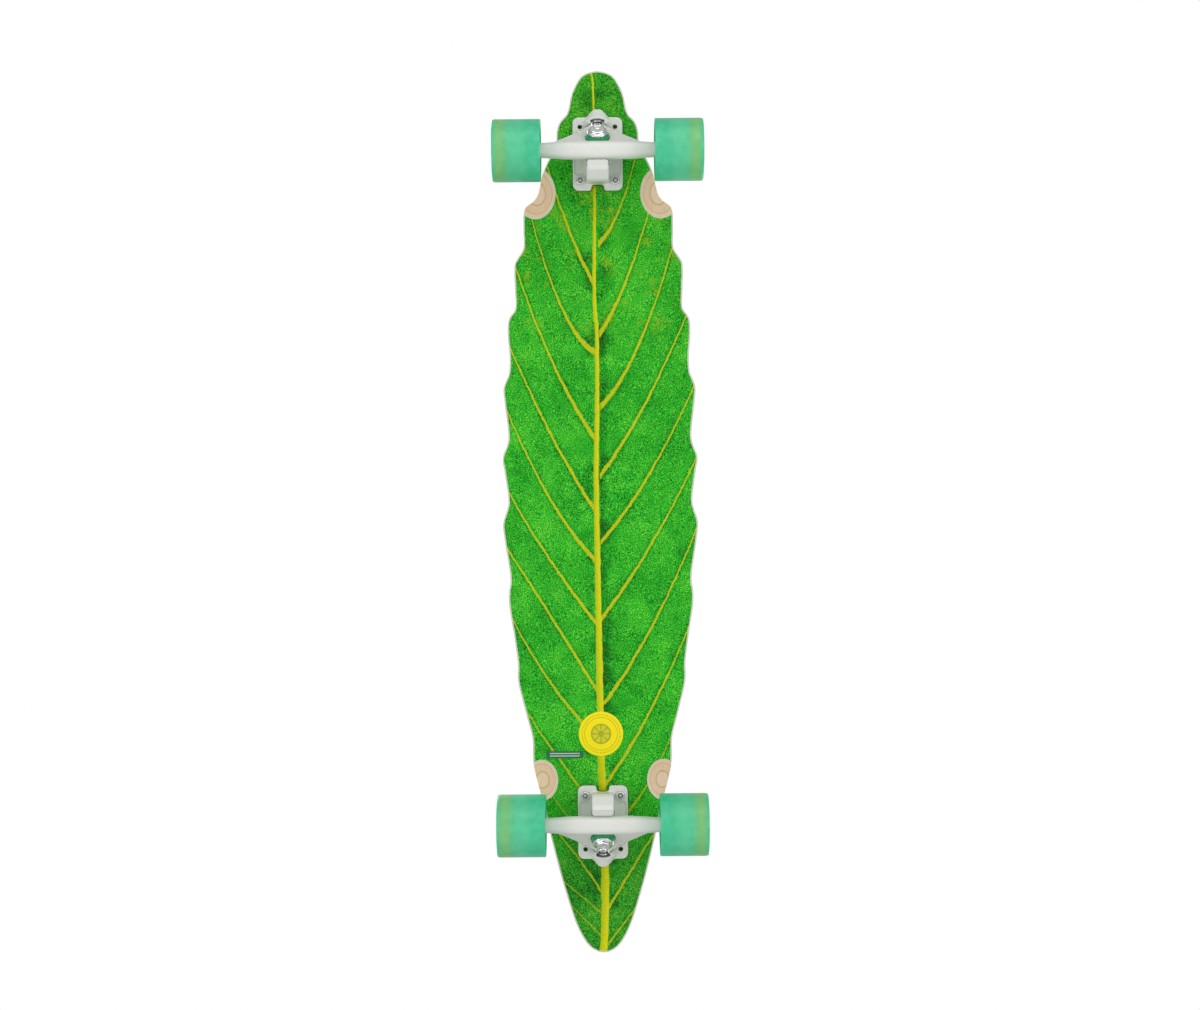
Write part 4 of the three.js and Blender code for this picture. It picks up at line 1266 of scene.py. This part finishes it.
def make_truck(truck, base, hanger):
    place = row_frame(truck)
    kingpin = place @ kingpin_frame(truck)
    body = f"{truck}_hanger"
    add = piece_maker(truck)
    add("base_casting", "baseplate", base, place, (WHITE, MACHINED), "white_casting", "board", sharp=38)
    add("riser", "riser_pad", riser_shape(), place, (RISER,), "riser_rubber", "board")
    add("cup", "pivot_cup", cup_shape(), kingpin, (CUP,), "cup_urethane", "board")
    add("kingpin_bolt", "kingpin", kingpin_shape(), kingpin, (ZINC,), "zinc_steel", "board")
    nut = lock_nut(14.3, KINGPIN_RADIUS + 0.05, 22.1, 32.0, 7.0, lip=1.5, sink=3.0)
    add("kingpin_lock_nut", "kingpin_nut", nut, kingpin, (CHROME, NYLON), "chrome", "board")
    for level, direction in (("board", -1), ("road", 1)):
        add(f"{level}_cup_washer", f"{level}_washer", washer_shape(direction), kingpin, (CHROME,), "chrome",
            "board", sharp=50)
        # The hanger's ring holds the cone's wide end, and the cup washer on the board's body its narrow one.
        bend = [kingpin @ Vector((0, 0, direction * z)) for z in (12.5, 19.2)]
        add(f"{level}_cone", f"{level}_bushing", bushing_shape(direction), kingpin, (BUSHING,),
            "bushing_urethane", None, sharp=50, bend=(body, "board", *bend))

    add("hanger_casting", "hanger", hanger, place, (WHITE,), "white_casting", body, sharp=38)
    low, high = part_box(f"{truck}_axle")
    middle = Matrix.Translation((low + high) / 2) @ ROW_FRAME
    add("axle_rod", "axle", axle_shape(AXLE_HALF_LENGTH), middle, (ZINC,), "zinc_steel", body)
    urethane = wheel_urethane(truck)
    for side in SIDES:
        make_wheel(truck, side, place, urethane)

    bolt = bolt_shape(RISER_THICKNESS + 0.1 + DECK_THICKNESS + 0.3)
    small_nut = lock_nut(9.5, 2.4, PLATE_THICKNESS + 0.1, PLATE_THICKNESS + 5.6, 4.4)
    small_nut = small_nut.moved(Matrix.Rotation(math.pi, 4, "X"))
    for count, (u, y) in enumerate(bolt_stations(), 1):
        turned = place @ Matrix.Translation((u, y, 0)) @ Matrix.Rotation(0.5 + 0.8 * count, 4, "Z")
        add(f"deck_bolt_{count}", f"bolt_{count}", bolt, turned, (ZINC,), "zinc_steel", "board")
        add(f"deck_nut_{count}", f"bolt_nut_{count}", small_nut, turned, (CHROME, NYLON), "zinc_steel",
            "board")


def make_wheel(truck, side, place, urethane):
    body = f"{truck}_{side}_wheel"
    hanger = f"{truck}_hanger"
    add = piece_maker(f"{truck}_{side}")
    hub = place @ wheel_frame(truck, side)
    low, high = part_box(body)
    tyre = wheel_shape((high.z - low.z) / 2 / MM, (high.y - low.y) / 2 / MM)
    add("tyre", "wheel", tyre, hub, (urethane,), "wheel_urethane", body, sharp=50)
    for where, direction in (("inner", -1), ("outer", 1)):
        add(f"{where}_race", f"{where}_bearing", bearing_shape(direction), hub, (BEARING, SHIELD),
            "bearing_steel", body)
        washer = ring_shape(4.1, 6.3, *sorted((direction * 12.25, direction * 12.95)))
        add(f"{where}_speed_washer", None, washer, hub, (ZINC,), "zinc_steel", hanger)
    add("spacer_tube", "bearing_spacer", ring_shape(4.3, 5.6, -4.8, 4.8), hub, (BEARING,), "bearing_steel",
        hanger)
    nut = lock_nut(12.7, AXLE_RADIUS + 0.05, 13.2, 19.4, 6.0)
    add("axle_lock_nut", "axle_nut", nut, hub, (CHROME, NYLON), "chrome", hanger)


# ---------- Stage ----------


def make_floor():
    """A pale floor that only the views from above see."""
    material = bpy.data.materials.new("floor_one_sided")
    nodes = Nodes(material)
    pale = nodes.field("BsdfDiffuse", (0.74, 0.74, 0.735))
    behind = nodes.field("NewGeometry", output="Backfacing")
    nodes.show("Material", nodes.field("MixShader", behind, pale, nodes.field("BsdfTransparent")))
    mesh = bpy.data.meshes.new("floor")
    reach = 6.0
    mesh.from_pydata([(-reach, -reach, 0), (reach, -reach, 0), (reach, reach, 0), (-reach, reach, 0)], [],
                     [(0, 1, 2, 3)])
    mesh.materials.append(material)
    floor = placed("floor", mesh)
    for kind in ("diffuse", "glossy", "transmission", "shadow"):
        setattr(floor, f"visible_{kind}", False)


def make_light(name, place, aim, size, power):
    data = bpy.data.lights.new(name, "AREA")
    data.shape = "RECTANGLE"
    data.size, data.size_y = size
    data.energy = power
    light = placed(name, data)
    light.location = place
    light.rotation_euler = (Vector(aim) - Vector(place)).to_track_quat("-Z", "Y").to_euler()
    light.visible_camera = False


def make_world():
    """White where the camera sees it. Its light is strongest from below, and weakest round the horizon."""
    world = bpy.data.worlds.new("studio")
    bpy.context.scene.world = world
    nodes = Nodes(world)
    height = nodes.split(nodes.field("TexCoord", output="Generated"))[2]
    levels = ((0.0, 0.84), (0.30, 0.88), (0.46, 0.50), (0.55, 0.30), (0.75, 0.55), (1.0, 0.72))
    greys = [(place, (level, level, level * 1.01)) for place, level in levels]
    light = nodes.field("Background", nodes.bands(nodes.math("MULTIPLY_ADD", height, 0.5, 0.5), greys), 0.84)
    white = nodes.field("Background", (1.0, 1.0, 1.0))
    seen = nodes.field("LightPath", output="Is Camera Ray")
    nodes.show("World", nodes.field("MixShader", seen, light, white))


CAMERA_REACH = 2.5                 # from the deck's underside down to the camera
VIEW_WIDTH = 1.410                 # how much of the board's plane the picture spans
VIEW_MIDDLE = (0.0079, -0.0005)
ROLL = 0.466                       # degrees
SENSOR_WIDTH = 36.0


def make_camera():
    data = bpy.data.cameras.new("camera")
    data.sensor_fit = "HORIZONTAL"
    data.sensor_width = SENSOR_WIDTH
    data.lens = SENSOR_WIDTH * CAMERA_REACH / VIEW_WIDTH
    data.clip_start = 0.05
    data.clip_end = 50
    data.dof.use_dof = False
    camera = placed("camera", data)
    roll = math.radians(ROLL)
    right = Vector((-math.sin(roll), math.cos(roll), 0))
    up = Vector((math.cos(roll), math.sin(roll), 0))
    back = right.cross(up)
    turn = Matrix((right, up, back)).transposed().to_4x4()
    camera.matrix_world = Matrix.Translation((*VIEW_MIDDLE, UNDERSIDE * MM - CAMERA_REACH)) @ turn
    bpy.context.scene.camera = camera


def make_stage():
    make_camera()
    make_floor()
    make_world()
    make_light("below_left", (0.5, 1.9, -1.5), (0, 0, 0.05), (2.2, 1.0), 11)
    make_light("below_right", (-0.3, -1.9, -1.5), (0, 0, 0.05), (2.2, 1.0), 10)
    make_light("below_nose", (2.0, 0.0, -1.6), (0.2, 0, 0.05), (1.4, 1.4), 7)
    make_light("above_key", (0.9, -1.5, 2.3), (0, 0, 0.05), (1.8, 1.8), 34)
    make_light("above_fill", (-1.2, 1.6, 1.8), (0, 0, 0.05), (1.8, 1.2), 18)
    scene = bpy.context.scene
    scene.view_settings.view_transform = "Standard"
    scene.view_settings.look = "None"


make_stage()
make_deck()
make_stickers()
reference = kingpin_frame("nose")
BASE = base_shape(reference)
HANGER = hanger_shape(reference)
for truck_name in TRUCKS:
    make_truck(truck_name, BASE, HANGER)
